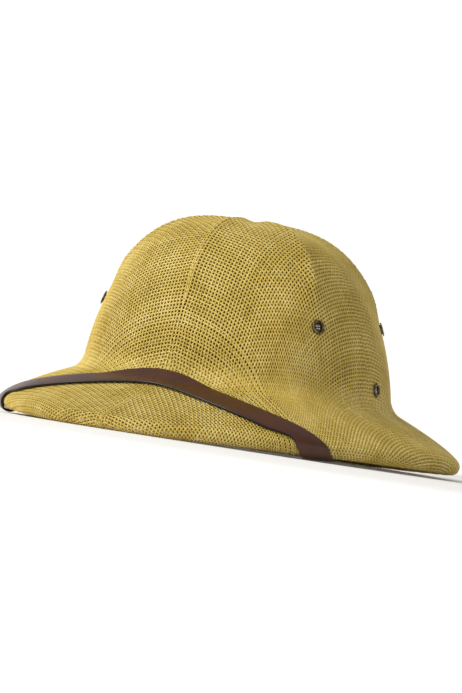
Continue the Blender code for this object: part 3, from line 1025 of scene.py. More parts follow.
    @staticmethod
    def _strands(name: str, ring: np.ndarray, facing_out: np.ndarray, place: np.ndarray,
                 first: np.ndarray, second: np.ndarray, tone: np.ndarray,
                 material: bpy.types.Material) -> bpy.types.Object:
        """One piece from the strand lengths between neighbouring crossings, ends closed.

        Args:
            name: Name of the piece.
            ring: Four points round the strand at each crossing.
            facing_out: Shading normals of those points, so that the pieces meet unseen.
            place: Way along the strand at each crossing, staggered from strand to strand.
            first: Crossing where each length starts.
            second: Crossing where it ends.
            tone: Light or dark value of the four points: random strand tone plus painted highlight
                and painted shade.
            material: Straw material.

        Returns:
            The piece.
        """
        used, inverse = np.unique(np.concatenate([first, second]), return_inverse=True)
        a, b = inverse[:len(first), None] * 4, inverse[len(first):, None] * 4
        edge = np.arange(4)
        after = (edge + 1) % 4
        walls = np.stack([a + edge, b + edge, b + after, a + after], -1).reshape(-1, 4)
        caps = np.concatenate([np.setdiff1d(a, b)[:, None] + edge,
                               np.setdiff1d(b, a)[:, None] + edge[::-1]])
        quads = np.concatenate([walls, caps])
        across = np.tile(np.stack([edge, edge, edge + 1, edge + 1], -1) / 4, (len(first), 1))
        uv = np.stack([place[used][quads // 4] / MM,
                       np.concatenate([across, np.full(caps.shape, 0.5)])], -1).reshape(-1, 2)
        return make_piece(name, ring[used].reshape(-1, 3), quads, material, uv=uv,
                          values={"tone": tone[used].ravel()},
                          normals=facing_out[used].reshape(-1, 3))


# ---------------------------------------------------------------- small metal pieces


def lathe(outline: np.ndarray, sides: int, matrix: Matrix) -> tuple[np.ndarray, np.ndarray]:
    """Turned surface from a closed outline.

    Point (i, j) is (r_j cos a_i, r_j sin a_i, z_j) with even angles a_i, put in place by a
    matrix.

    Args:
        outline: Radius and height of the closed outline, (count, 2), counter-clockwise.
        sides: Number of steps round.
        matrix: Place and turn of the piece.

    Returns:
        Points and faces.
    """
    angle = np.linspace(0, 2 * math.pi, sides, endpoint=False)[:, None]
    radius, height = outline[None, :, 0], outline[None, :, 1]
    points = np.stack([radius * np.cos(angle), radius * np.sin(angle),
                       height + 0 * angle], -1).reshape(-1, 3)
    return transformed(points, matrix), grid_quads(sides, len(outline), True, True)


def transformed(points: np.ndarray, matrix: Matrix) -> np.ndarray:
    """Points after a matrix."""
    table = np.array(matrix)
    return points @ table[:3, :3].T + table[:3, 3]


def facing(point: np.ndarray, normal: np.ndarray) -> Matrix:
    """Matrix that stands a turned piece on a point with its axis along a normal."""
    turn = Vector(normal).to_track_quat("Z", "Y").to_matrix().to_4x4()
    return Matrix.Translation(Vector(point)) @ turn


def rounded(corners: Sequence[tuple[float, float, float]], steps: int = 5) -> np.ndarray:
    """Closed outline with its corners rounded by quadratic Bezier curves.

    Args:
        corners: Radius, height and rounding length of each corner.
        steps: Points in each rounded corner.

    Returns:
        The outline, (count, 2).
    """
    table = np.array(corners)
    here, cut = table[:, :2], table[:, 2:]
    before, after = unit(np.roll(here, 1, 0) - here), unit(np.roll(here, -1, 0) - here)
    share = np.linspace(0, 1, steps)[None, :, None]
    first, last = (here + before * cut)[:, None], (here + after * cut)[:, None]
    curve = (1 - share) ** 2 * first + 2 * share * (1 - share) * here[:, None] + share ** 2 * last
    return curve.reshape(-1, 2)


def tubes(paths: np.ndarray, radius: float, sides: int) -> tuple[np.ndarray, np.ndarray]:
    """Round wires along level paths, with closed ends.

    Each ring is centre + radius (cos a, sin a) in the plane of the path's side and the
    vertical, and the first and last rings shrink to a point.

    Args:
        paths: Centre lines, (wires, steps, 3), each mostly level.
        radius: Wire radius.
        sides: Number of steps round.

    Returns:
        Points and faces.
    """
    tangent = unit(np.gradient(paths, axis=1))
    side = unit(np.cross(np.array([0.0, 0.0, 1.0]), tangent))
    up = np.cross(tangent, side)
    angle = np.linspace(0, 2 * math.pi, sides, endpoint=False)
    reach, tip_share = np.full(paths.shape[1], radius), 0.02
    reach[[0, -1]] *= tip_share
    ring = (np.cos(angle)[:, None] * side[:, :, None] + np.sin(angle)[:, None] * up[:, :, None])
    points = paths[:, :, None] + reach[None, :, None, None] * ring
    one = grid_quads(paths.shape[1], sides, False, True)
    step = paths.shape[1] * sides
    faces = (one[None] + (np.arange(len(paths)) * step)[:, None, None]).reshape(-1, 4)
    return points.reshape(-1, 3), faces


@dataclass
class Eyelets:
    """Six metal eyelets through the straw wall, each with a woven wire screen inside."""

    form: HatForm
    spots: dict[str, tuple[float, float]] = field(default_factory=lambda: {
        "front": (math.radians(60.5), 83.0 * MM),
        "rear": (math.radians(119.5), 90.0 * MM),
        "low": (math.radians(96), 50.0 * MM),
    })
    bore: float = 2.8 * MM
    barrel: float = 3.25 * MM
    flange: float = 4.7 * MM
    seat: float = 0.45 * MM
    lip: float = 1.35 * MM
    lip_inside: float = 0.85 * MM
    lip_outside: float = 0.95 * MM
    flat_from_bore: float = 0.7 * MM
    flat_from_edge: float = 0.9 * MM
    lip_round: float = 0.35 * MM
    washer: float = 0.7 * MM
    washer_edge: float = 0.5 * MM
    washer_inset: float = 0.3 * MM
    washer_gap: float = 0.1 * MM
    crisp: float = 0.05 * MM
    eased: float = 0.1 * MM
    axis_gap: float = 0.01 * MM
    gap: float = 0.3 * MM
    screen_depth: float = 0.5 * MM
    screen_thickness: float = 0.6 * MM
    backing: float = 0.25 * MM
    wire_radius: float = 0.3 * MM
    wire_pitch: float = 1.7 * MM
    wire_clearance: float = 0.1 * MM
    wire_swing: float = 0.24 * MM
    wire_middle: float = 0.54 * MM
    wire_steps: int = 24
    wire_sides: int = 10
    # Painted glint on the wires: painted dark to this share between the knuckles, and painted
    # bright over each crest from this far up it.
    painted_glint_base: float = 0.16
    painted_glint_from: float = 0.35
    sides: int = 48

    def placed(self) -> dict[str, tuple[np.ndarray, np.ndarray]]:
        """Places of the eyelets on the crown, the right ones mirrored from the left.

        Returns:
            Point and outward normal of each, by its node's ending.
        """
        found = {}
        for where, (theta, height) in self.spots.items():
            point, normal = self.form.crown_spot(theta, height)
            for label, side in SIDES.items():
                flip = np.array([side, 1.0, 1.0])
                found[f"{where}_{label}"] = (point * flip, normal * flip)
        return found

    def outline(self) -> np.ndarray:
        """Section of the ring: rolled outer flange, barrel through the wall, washer inside.

        Returns:
            Radius and height of the closed outline, (count, 2).
        """
        back = -(self.form.wall + self.seat + self.washer_gap)
        rim = self.flange - self.washer_inset
        return rounded([
            (self.bore, back - self.washer, 1.5 * self.eased),
            (rim, back - self.washer_edge, self.eased),
            (rim, back, 0.8 * self.eased),
            (self.barrel, back, self.crisp),
            (self.barrel, self.seat, self.crisp),
            (self.flange, self.seat, self.eased),
            (self.flange - self.crisp, self.lip_outside, 3 * self.eased),
            (self.flange - self.flat_from_edge, self.lip, self.lip_round),
            (self.bore + self.flat_from_bore, self.lip, self.lip_round),
            (self.bore, self.lip_inside, self.lip_round),
        ])

    def screen(self) -> tuple[np.ndarray, np.ndarray, np.ndarray]:
        """Round screen: a thin disc, painted black as painted shade, with two woven wires each way
        on its face.

        A wire at distance d from the middle is sqrt(R^2 - d^2) long each way. Its height is
        a sine whose crests lie over the wires that it crosses. The crests carry a painted glint,
        and the wire between them is painted dark.

        Returns:
            Points, faces and how bright each point is painted, all about the origin.
        """
        radius, low = self.bore - self.gap, -self.screen_depth - self.screen_thickness
        face = low + self.backing
        disc = rounded([(self.axis_gap, low, 0), (radius, low, self.crisp),
                        (radius, face, self.crisp), (self.axis_gap, face, 0)])
        points, faces = lathe(disc, self.sides, Matrix.Identity(4))
        place = np.array([-0.5, 0.5])[:, None] * self.wire_pitch
        reach = np.sqrt((radius - self.wire_clearance) ** 2 - place ** 2)
        run = np.linspace(-1, 1, self.wire_steps + 1)[None, :] * reach
        wave = np.sign(place) * np.sin(math.pi * run / self.wire_pitch)
        middle, swing = face + self.wire_middle, self.wire_swing
        along = np.stack([run, place + 0 * run, middle + swing * wave], -1)
        across = np.stack([place + 0 * run, run, middle - swing * wave], -1)
        wires, wire_faces = tubes(np.concatenate([along, across]), self.wire_radius,
                                  self.wire_sides)
        # Painted glint: each wire is painted bright over its crests and dark between them, and the
        # disc gets none, so it is painted black.
        crest = (np.concatenate([wave, -wave]).ravel() - self.painted_glint_from) / (1 - self.painted_glint_from)
        painted_glint = self.painted_glint_base + (1 - self.painted_glint_base) * smooth_step(crest)
        bright = np.concatenate([np.zeros(len(points)), np.repeat(painted_glint, self.wire_sides)])
        return (np.concatenate([points, wires]), np.concatenate([faces, wire_faces + len(points)]),
                bright)

    def build(self, ring: bpy.types.Material, wire: bpy.types.Material) -> None:
        """Make the six rings and their screens in place of their nodes.

        Args:
            ring: Material of the rings.
            wire: Material of the screens.
        """
        outline = self.outline()
        screen, screen_faces, bright = self.screen()
        for label, (point, normal) in self.placed().items():
            matrix = facing(point, normal)
            points, faces = lathe(outline, self.sides, matrix)
            make_piece(f"eyelet_ring_{label}", points, faces, ring,
                       [f"eyelet_{label}"])
            # The wire attribute carries the painted glints of the wires and leaves the disc painted
            # black.
            make_piece(f"eyelet_screen_{label}", transformed(screen, matrix), screen_faces, wire,
                       [f"screen_{label}"], values={"wire": bright})


@dataclass
class StrapPosts:
    """Two plain posts inside the crown that the strap's ends are pressed on."""

    form: HatForm
    angle: float = math.radians(83)
    height: float = 53.0 * MM
    wall_seat: float = 0.35 * MM
    base_radius: float = 5.0 * MM
    base: float = 1.0 * MM
    shank_radius: float = 1.7 * MM
    head_radius: float = 4.0 * MM
    head: float = 1.3 * MM
    head_edge: float = 0.1 * MM
    head_crown: float = 0.6
    neck: float = 3.4 * MM
    crisp: float = 0.1 * MM
    axis_gap: float = 0.01 * MM
    sides: int = 48

    def build(self, metal: bpy.types.Material) -> None:
        """Turn both posts in place of their nodes.

        Args:
            metal: Material of the posts.
        """
        point, normal = self.form.crown_spot(self.angle, self.height)
        seat, end = point - normal * (self.form.wall + self.wall_seat), self.neck + self.head
        outline = rounded([
            (self.axis_gap, 0, 0),
            (self.base_radius, 0, 2 * self.crisp),
            (self.base_radius, self.base, 3 * self.crisp),
            (self.shank_radius, self.base, self.crisp),
            (self.shank_radius, self.neck, self.crisp),
            (self.head_radius, self.neck, 1.5 * self.crisp),
            (self.head_radius - self.head_edge, self.neck + self.head / 2, 4 * self.crisp),
            (self.head_radius * self.head_crown, end, 8 * self.crisp),
            (self.axis_gap, end, 0),
        ])
        for label, side in SIDES.items():
            flip = np.array([side, 1.0, 1.0])
            points, faces = lathe(outline, self.sides, facing(seat * flip, -normal * flip))
            make_piece(f"strap_stud_{label}", points, faces, metal,
                       [f"strap_post_{label}"])


# ---------------------------------------------------------------- chin strap


class Station(NamedTuple):
    """Place on the strap's middle: angle round the hat, length along its bed, and slant."""

    theta: float
    length: float
    slant: float


@dataclass
class ChinStrap:
    """Leather strap over the front brim, round the rim and inside up to both posts."""

    form: HatForm
    posts: StrapPosts
    width: float = 17.5 * MM
    thickness: float = 1.5 * MM
    lift: float = 0.6 * MM
    # The bed bridges the cove from this far up and out on the wall to this far out on the brim.
    bed_high: float = 5.5 * MM
    bed_in: float = 1.4 * MM
    bed_out: float = 15.0 * MM
    wrap_angle: float = math.radians(49.2)
    front: float = 14.0 * MM
    route_ease: float = 0.25
    slant_from: float = 0.75
    wrap_heading: float = math.radians(46)
    leave: float = math.radians(-122)
    run_out: float = 14.0 * MM
    bed_run_on: float = 35.0 * MM
    brim_samples: int = 160
    roll_samples: int = 59
    brim_stations: int = 12
    roll_stations: int = 9
    free_stations: int = 3
    wall_stations: int = 4
    end_rows: int = 11
    end_tip: float = 0.02
    wall_start_angle: float = math.radians(73)
    wall_start_height: float = 45.0 * MM
    wall_ease: float = 7.0 * MM
    stud_gap: float = 0.45 * MM
    edge_round: float = 0.5 * MM
    edge_steps: int = 5
    face_steps: int = 11
    crown: float = 0.12 * MM
    fine: int = 7
    easing: int = 14
    held_rows: int = 30
    sharp: float = 70.0

    def bed_profile(self, theta: np.ndarray | float) -> tuple[np.ndarray, np.ndarray, np.ndarray]:
        """Profile that the strap bears on: across the cove, down the brim, round the roll.

        It is straight across the cove and past the roll. The samples are two at the cove,
        the brim's, the roll's and one past it. Those of the brim that lie inside the cove's
        edge are all put on that edge.

        Args:
            theta: Angles round the hat.

        Returns:
            Distance out, height and length along the profile, (..., samples).
        """
        form, at = self.form, np.asarray(theta)[..., None]
        out, height = form.brim_curve(at, np.linspace(0.0, 1.0, self.brim_samples))
        edge = read_off(np.full(out.shape[:-1], self.bed_out), out, height)[..., None]
        height = np.where(out > self.bed_out, height, edge)
        angle = np.linspace(form.roll_start, self.leave, self.roll_samples + 1)[1:]
        roll_out, roll_height = form.roll_curve(at, angle)
        foot, run = form.join_height(at), self.bed_run_on
        outs = np.concatenate([
            0 * foot + self.bed_in, 0 * foot + self.bed_out, np.maximum(out, self.bed_out),
            roll_out, roll_out[..., -1:] + run * math.sin(self.leave)], -1)
        heights = np.concatenate([
            foot + self.bed_high, edge, height,
            roll_height, roll_height[..., -1:] - run * math.cos(self.leave)], -1)
        steps = np.hypot(np.diff(outs), np.diff(heights))
        return outs, heights, np.concatenate([0 * foot, np.cumsum(steps, -1)], -1)

    def bed_point(self, theta: np.ndarray | float, length: np.ndarray | float,
                  lift: float) -> np.ndarray:
        """Point over the strap's bed, lifted square to its profile.

        Args:
            theta: Angles round the hat.
            length: Lengths along the profile.
            lift: Distance off it.

        Returns:
            Points, (..., 3).
        """
        outs, heights, lengths = self.bed_profile(theta)
        place, span = np.asarray(length), 0.4 * MM
        run, rise = (read_off(place + span, lengths, table) - read_off(place - span, lengths, table)
                     for table in (outs, heights))
        size = np.hypot(run, rise)
        out = read_off(place, lengths, outs) - rise / size * lift
        height = read_off(place, lengths, heights) + run / size * lift
        return self.form.place(np.asarray(theta), out, height)

    def wall_point(self, theta: np.ndarray | float, height: np.ndarray | float,
                   lift: float) -> np.ndarray:
        """Point off the crown's inner wall, which goes straight down below its foot.

        Args:
            theta: Angles round the hat.
            height: Heights.
            lift: Distance off the wall, counted inwards.

        Returns:
            Points, (..., 3).
        """
        level = np.maximum(height, self.form.join_height(theta))
        point, normal = self.form.crown_spot(theta, level)
        point = point - normal * (self.form.wall + lift)
        point[..., 2] += height - level
        return point

    def speed(self, theta: float, length: float) -> float:
        """Travel for each radian round the hat: a small step's length over its angle.

        Args:
            theta: Angle round the hat.
            length: Length along the bed's profile.

        Returns:
            Metres for each radian.
        """
        step = 1e-3
        ahead = self.bed_point(theta + step, length, 0.0)
        return float(np.linalg.norm(ahead - self.bed_point(theta - step, length, 0.0)) / (2 * step))

    def bed_route(self) -> list[Station]:
        """Stations of the strap's middle, from the front over the brim and round the roll.

        Over the brim the length follows sqrt(s^2 + ease^2) from the front to the wrap. Round
        the roll the strap keeps one heading. The slant is 0 where the strap is cut square
        and 1 where its rows lie along the profile.

        Returns:
            The stations.
        """
        route: list[Station] = []
        lengths = self.bed_profile(self.wrap_angle)[2]
        wrap_at, leave_at = lengths[1 + self.brim_samples], lengths[-2]
        finish = math.hypot(1, self.route_ease) - self.route_ease
        for share in np.linspace(0, 1, self.brim_stations):
            way = (math.hypot(share, self.route_ease) - self.route_ease) / finish
            slant = float(smooth_step((share - self.slant_from) / (1 - self.slant_from)))
            length = self.front + (wrap_at - self.front) * way
            route.append(Station(self.wrap_angle * share, length, slant))
        for length in np.linspace(wrap_at, leave_at + self.run_out, self.roll_stations + 1)[1:]:
            theta, before, _ = route[-1]
            turn = (length - before) / math.tan(self.wrap_heading) / self.speed(theta, before)
            route.append(Station(theta + turn, length, 1.0))
        return route

    def bed_section(self, route: list[Station], index: int, lift: float,
                    across: np.ndarray) -> np.ndarray:
        """Row of points across the strap at a station of its bed.

        The row is square to the heading, or turned towards the profile by the slant and
        stretched so that the strap keeps its width.

        Args:
            route: The stations.
            index: Number of the station.
            lift: Distance off the bed.
            across: Places across the strap, from -1 to 1.

        Returns:
            Points, (count, 3).
        """
        before, after = route[max(index - 1, 0)], route[min(index + 1, len(route) - 1)]
        theta, length, slant = route[index]
        pace = self.speed(theta, length)
        heading = math.atan2(after.length - before.length,
                             (after.theta - before.theta) * pace) if index else 0.0
        cross = heading + math.pi / 2 + slant * (math.pi / 2 - heading)
        stretch = self.width / 2 / max(math.sin(cross - heading), math.sin(self.wrap_heading))
        reach = across * stretch
        return self.bed_point(theta + math.cos(cross) * reach / pace,
                              length + math.sin(cross) * reach, lift)

    def wall_span(self) -> np.ndarray:
        """Way along the wall, from where the strap comes to it to the post."""
        return (self.wall_point(self.posts.angle, self.posts.height, 0)
                - self.wall_point(self.wall_start_angle, self.wall_start_height, 0))

    def wall_section(self, along: float, half_width: float, lift: float,
                     across: np.ndarray) -> np.ndarray:
        """Row of points across the strap on the crown's wall, square to its heading.

        Args:
            along: 0 where the strap comes to the wall, 1 at the post.
            half_width: Half of the strap's width there.
            lift: Distance off the wall.
            across: Places across the strap, from -1 to 1.

        Returns:
            Points, (count, 3).
        """
        span = self.wall_span()
        climb, run = self.posts.height - self.wall_start_height, math.hypot(span[0], span[1])
        heading, turn = math.atan2(climb, run), self.posts.angle - self.wall_start_angle
        theta, height = self.wall_start_angle + turn * along, self.wall_start_height + climb * along
        ease, reach = self.wall_ease * max(1 - along, 0) ** 3, across * half_width
        return self.wall_point(theta - math.sin(heading) * reach * turn / run,
                               height + math.cos(heading) * reach, lift + ease)

    def face(self, lift: float, wall_lift: float, across: np.ndarray) -> np.ndarray:
        """One face of half the strap: rows of points from the front to the round end.

        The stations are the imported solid's own, and a Catmull-Rom curve adds rows between
        them. The end's half width follows a half circle.

        Args:
            lift: Distance off the bed.
            wall_lift: Distance off the crown's wall.
            across: Places across the strap, from -1 to 1.

        Returns:
            The rows, (rows, count, 3).
        """
        route = self.bed_route()
        rows = [self.bed_section(route, index, lift, across) for index in range(len(route))]
        half, leave = self.width / 2, rows[-1]
        target = self.wall_section(0.0, half, wall_lift, across)
        for share in np.linspace(0, 1, self.free_stations + 2)[1:-1]:
            rows.append(leave * (1 - share) + target * share)
        rows += [self.wall_section(along, half, wall_lift, across)
                 for along in np.linspace(0, 1, self.wall_stations)]
        table = np.array(rows)
        with_start = np.concatenate([table[1:2] * MIRROR, table])
        smooth = spline(with_start, (len(with_start) - 1) * self.fine + 1)[self.fine:]
        span = np.linalg.norm(self.wall_span())
        end = [self.wall_section(1 + math.sin(turn) * half / span,
                                 half * max(math.cos(turn), self.end_tip), wall_lift, across)
               for turn in np.linspace(0, math.pi / 2, self.end_rows + 1)[1:]]
        return np.concatenate([smooth, np.array(end)])

    def relaxed(self, rows: np.ndarray) -> np.ndarray:
        """Rows averaged (1, 2, 1) / 4 again and again, so that the bends are easy ones.

        The rows near both ends, where the strap lies on the wall, stay as they are.

        Args:
            rows: Rows of the whole strap, (rows, count, 3).

        Returns:
            The eased rows.
        """
        rows, held = rows.copy(), self.held_rows
        for _ in range(self.easing):
            middle = (rows[:-2] + 2 * rows[1:-1] + rows[2:]) / 4
            rows[held:-held] = middle[held - 1:1 - held]
        return rows

    def build(self, leather: bpy.types.Material) -> None:
        """Make the strap as one band with rounded edges.

        A ring of the band runs over the top face and back under the bottom face. Its depth
        falls off in a quarter circle at both edges, and its face is a little crowned.

        Args:
            leather: Material of the strap.
        """
        inset = self.edge_round / (self.width / 2)
        corner = np.linspace(0, math.pi / 2, self.edge_steps)
        edge_across = 1 - inset * (1 - np.sin(corner))
        edge_depth = 0.5 + 0.5 * np.cos(corner)
        flat = np.linspace(-1 + inset, 1 - inset, self.face_steps + 2)[1:-1]
        across = np.concatenate([-edge_across[::-1], flat, edge_across])
        depth = np.concatenate([edge_depth[::-1], np.ones(len(flat)), edge_depth])
        base = self.posts.wall_seat + self.posts.base + self.stud_gap
        under = self.face(self.lift, base, across)
        over = self.face(self.lift + self.thickness, base + self.thickness, across)
        under = self.relaxed(np.concatenate([under[:0:-1] * MIRROR, under]))
        over = self.relaxed(np.concatenate([over[:0:-1] * MIRROR, over]))
        bulge = (self.crown / self.thickness) * (1 - across ** 2)
        top = under + (over - under) * (depth + bulge)[None, :, None]
        bottom = under + (over - under) * (1 - depth)[None, :, None]
        inner = slice(-2, 0, -1)
        ring = np.concatenate([top, bottom[:, inner]], axis=1)
        side = np.concatenate([across, across[inner]])
        height = np.concatenate([depth, 1 - depth[inner]])
        rows, columns = ring.shape[:2]
        low = np.arange(columns // 2 - 1)
        ladder = np.stack([low, low + 1, columns - 2 - low, columns - 1 - low], -1)
        faces = np.concatenate([grid_quads(rows, columns, False, True), ladder[:, ::-1],
                                ladder + (rows - 1) * columns])
        make_piece("chin_strap_band", ring.reshape(-1, 3), faces, leather,
                   ["chin_strap"], sharp=self.sharp,
                   values={"across": np.tile(side, rows), "depth": np.tile(height, rows)})


# ---------------------------------------------------------------- finishes


@dataclass(frozen=True)
class WovenStraw:
    """Dyed paper straw, woven and pressed: soft sheen, fibres along each strand."""

    light: str = "E8D68F"
    middle: str = "C2A84E"
    dark: str = "7F6A20"
    roughness: float = 0.5
    ior: float = 1.4
    strand_share: float = 0.11
    fibre_share: float = 0.35
    patch_share: float = 0.4
    fibre_length_mm: float = 2.9
    fibres_round: float = 9.0
    fibre_depth: float = 0.15 * MM
    fibre_relief: float = 0.35
    patch_size: float = 22.0 * MM
    stops: tuple[float, float, float] = (0.15, 0.5, 0.85)

    def material(self) -> bpy.types.Material:
        """Straw that varies from strand to strand and has fine streaks along the strand.

        The real streaks are a tenth of a millimetre wide and are drawn about twice as coarse,
        so that they show.

        Returns:
            The material.
        """
        # Twisted paper straw is dull and absorbent, so it shows its colour from every side
        # and only a broad, weak sheen along the crests.
        material, shader = new_material("woven_paper_straw", Roughness=self.roughness,
                                        IOR=self.ior)
        tree = material.node_tree
        # The tone attribute is random strand tone plus painted light: painted highlight on outer
        # faces and crests, painted shade on inner faces and where strands dive under.
        tone = add_node(tree, "Attribute", {"attribute_name": "tone"}).outputs["Fac"]
        uv = add_node(tree, "TexCoord").outputs["UV"]
        fibre_map = add_node(tree, "Mapping", inputs={
            "Vector": uv, "Scale": (1 / self.fibre_length_mm, self.fibres_round, 1.0)})
        fibre = add_node(tree, "TexNoise", inputs={
            "Vector": fibre_map.outputs["Vector"], "Scale": 1.0, "Detail": 3.0}).outputs["Fac"]
        place = add_node(tree, "TexCoord").outputs["Object"]
        patch = add_node(tree, "TexNoise", inputs={
            "Vector": place, "Scale": 1 / self.patch_size, "Detail": 2.0}).outputs["Fac"]
        # The noises swing about one half, so half of their shares comes off again.
        total = add_node(tree, "Value").outputs[0]
        total.default_value = 0.5 - (self.fibre_share + self.patch_share) / 2
        for source, share in ((tone, self.strand_share), (fibre, self.fibre_share),
                              (patch, self.patch_share)):
            total = add_node(tree, "Math", {"operation": "MULTIPLY_ADD"},
                             {0: source, 1: share, 2: total}).outputs[0]
        colour = ramp(tree, total, list(zip(self.stops, (self.dark, self.middle, self.light))))
        tree.links.new(colour, shader.inputs["Base Color"])
        bump = add_node(tree, "Bump", inputs={"Height": fibre, "Strength": self.fibre_relief,
                                              "Distance": self.fibre_depth})
        tree.links.new(bump.outputs["Normal"], shader.inputs["Normal"])
        return material


@dataclass(frozen=True)
class GlossyLeather:
    """Polished bonded leather: reddish brown face with a clear top coat, black edges and back."""

    face: str = "49230D"
    shade: str = "38190A"
    edge: str = "0B0808"
    roughness_low: float = 0.31
    roughness_high: float = 0.44
    mottle_size: float = 17.0 * MM
    grain_size: float = 0.7 * MM
    grain_depth: float = 0.05 * MM
    grain_relief: float = 0.12
    edge_from: float = 0.925
    edge_to: float = 0.95
    back_from: float = 0.97
    back_to: float = 0.8

    def material(self) -> bpy.types.Material:
        """Brown face that turns black at the edges and on the back, with a faint grain.

        Real grain is a quarter of a millimetre, and it is drawn coarser so that it shows.

        Returns:
            The material.
        """
        # A clear coat over dyed fibre gives a soft gloss on a deep, even brown.
        material, shader = new_material("polished_leather", IOR=1.43, Coat_Weight=0.07,
                                        Coat_Roughness=0.2)
        tree = material.node_tree
        across = add_node(tree, "Attribute", {"attribute_name": "across"}).outputs["Fac"]
        depth = add_node(tree, "Attribute", {"attribute_name": "depth"}).outputs["Fac"]
        place = add_node(tree, "TexCoord").outputs["Object"]
        cloud = add_node(tree, "TexNoise", inputs={
            "Vector": place, "Scale": 1 / self.mottle_size, "Detail": 4.0})
        brown = ramp(tree, cloud.outputs["Fac"], [(0.3, self.shade), (0.7, self.face)])
        away = add_node(tree, "Math", {"operation": "ABSOLUTE"}, {0: across})
        rim = add_node(tree, "MapRange", inputs={
            "Value": away.outputs[0], "From Min": self.edge_from, "From Max": self.edge_to})
        back = add_node(tree, "MapRange", inputs={
            "Value": depth, "From Min": self.back_from, "From Max": self.back_to})
        dark = add_node(tree, "Math", {"operation": "MAXIMUM"},
                        {0: rim.outputs["Result"], 1: back.outputs["Result"]})
        mix = add_node(tree, "Mix", {"data_type": "RGBA"}, {
            MIX_FACTOR: dark.outputs[0], MIX_A: brown, MIX_B: linear(self.edge)})
        tree.links.new(mix.outputs[MIX_RESULT], shader.inputs["Base Color"])
        grain = add_node(tree, "TexNoise", inputs={
            "Vector": place, "Scale": 1 / self.grain_size, "Detail": 2.0})
        rough = add_node(tree, "MapRange", inputs={
            "Value": grain.outputs["Fac"], "To Min": self.roughness_low,
            "To Max": self.roughness_high})
        tree.links.new(rough.outputs["Result"], shader.inputs["Roughness"])
        bump = add_node(tree, "Bump", inputs={
            "Height": grain.outputs["Fac"], "Strength": self.grain_relief,
            "Distance": self.grain_depth})
        tree.links.new(bump.outputs["Normal"], shader.inputs["Normal"])
        return material


@dataclass(frozen=True)
class AntiqueBronze:
    """Antiqued bronze plating: dark brown in the hollows, worn bright on the rolled lip."""

    bright: str = "8C7A52"
    dark: str = "2E2618"
    dark_roughness: float = 0.45
    bright_roughness: float = 0.22
    tarnish_size: float = 1.4 * MM

    def material(self) -> bpy.types.Material:
        """Bronze with small clouds of tarnish, rougher where it is dark.

        Returns:
            The material.
        """
        # Plating that was darkened and rubbed back glints on its rolled edge and stays
        # brown in the recess.
        material, shader = new_material("antique_bronze", Metallic=1.0)
        tree = material.node_tree
        place = add_node(tree, "TexCoord").outputs["Object"]
        cloud = add_node(tree, "TexNoise", inputs={
            "Vector": place, "Scale": 1 / self.tarnish_size, "Detail": 4.0})
        colour = ramp(tree, cloud.outputs["Fac"], [(0.35, self.dark), (0.65, self.bright)])
        tree.links.new(colour, shader.inputs["Base Color"])
        rough = add_node(tree, "MapRange", inputs={
            "Value": cloud.outputs["Fac"], "To Min": self.dark_roughness,
            "To Max": self.bright_roughness})
        tree.links.new(rough.outputs["Result"], shader.inputs["Roughness"])
        return material


@dataclass(frozen=True)
class ScreenWire:
    """Nickelled wire cloth with a rosy tarnish and painted glints on its knuckles, over a backing
    painted black as painted shade.
    """

    wire: str = "FFFBF9"
    tarnish: str = "E2D0C8"
    # Painted shade: the backing disc is painted near black, for the dark inside of the crown seen
    # through the eyelet.
    back: str = "050404"
    roughness: float = 0.3
    metal_share: float = 0.3
    tarnish_size: float = 0.65 * MM

    def material(self) -> bpy.types.Material:
        """Wire with painted glints where the attribute says so, and painted black shade behind it.

        Returns:
            The material.
        """
        # Drawn wire is smooth and reflects, and each knuckle of the weave also gets a painted
        # glint: its colour and metalness rise with the wire attribute.
        material, shader = new_material("nickelled_wire_cloth", Roughness=self.roughness)
        tree = material.node_tree
        wire = add_node(tree, "Attribute", {"attribute_name": "wire"}).outputs["Fac"]
        place = add_node(tree, "TexCoord").outputs["Object"]
        cloud = add_node(tree, "TexNoise", inputs={"Vector": place,
                                                   "Scale": 1 / self.tarnish_size})
        shade = ramp(tree, cloud.outputs["Fac"], [(0.3, self.tarnish), (0.6, self.wire)])
        mix = add_node(tree, "Mix", {"data_type": "RGBA"}, {
            MIX_FACTOR: wire, MIX_A: linear(self.back), MIX_B: shade})
        tree.links.new(mix.outputs[MIX_RESULT], shader.inputs["Base Color"])
        # Painted glint: the wire is more metallic where the attribute paints it bright.
        metal = add_node(tree, "Math", {"operation": "MULTIPLY"}, {0: wire, 1: self.metal_share})
        tree.links.new(metal.outputs[0], shader.inputs["Metallic"])
        return material


@dataclass(frozen=True)
class LitAcrylic:
    """Matt white acrylic sheet that is lit from behind away from the hat."""

    sheet: str = "F4F3F1"
    lamp: str = "FFFFFF"
    roughness: float = 0.9
    glow: float = 0.5
    glow_start: float = 0.45
    glow_end: float = 1.2

    def material(self) -> bpy.types.Material:
        """Pale sheet whose glow grows with the distance from the middle of the floor.

        Returns:
            The material.
        """
        # The sheet's own light drowns its shading, so the surround comes out plain white.
        material, shader = new_material(
            "lit_white_acrylic", Base_Color=linear(self.sheet), Roughness=self.roughness,
            Emission_Color=linear(self.lamp))
        tree = material.node_tree
        place = add_node(tree, "TexCoord").outputs["Object"]
        away = add_node(tree, "VectorMath", {"operation": "LENGTH"}, {0: place})
        glow = add_node(tree, "MapRange", {"interpolation_type": "SMOOTHSTEP"}, {
            "Value": away.outputs["Value"], "From Min": self.glow_start,
            "From Max": self.glow_end, "To Max": self.glow})
        tree.links.new(glow.outputs["Result"], shader.inputs["Emission Strength"])
        return material


# ---------------------------------------------------------------- studio


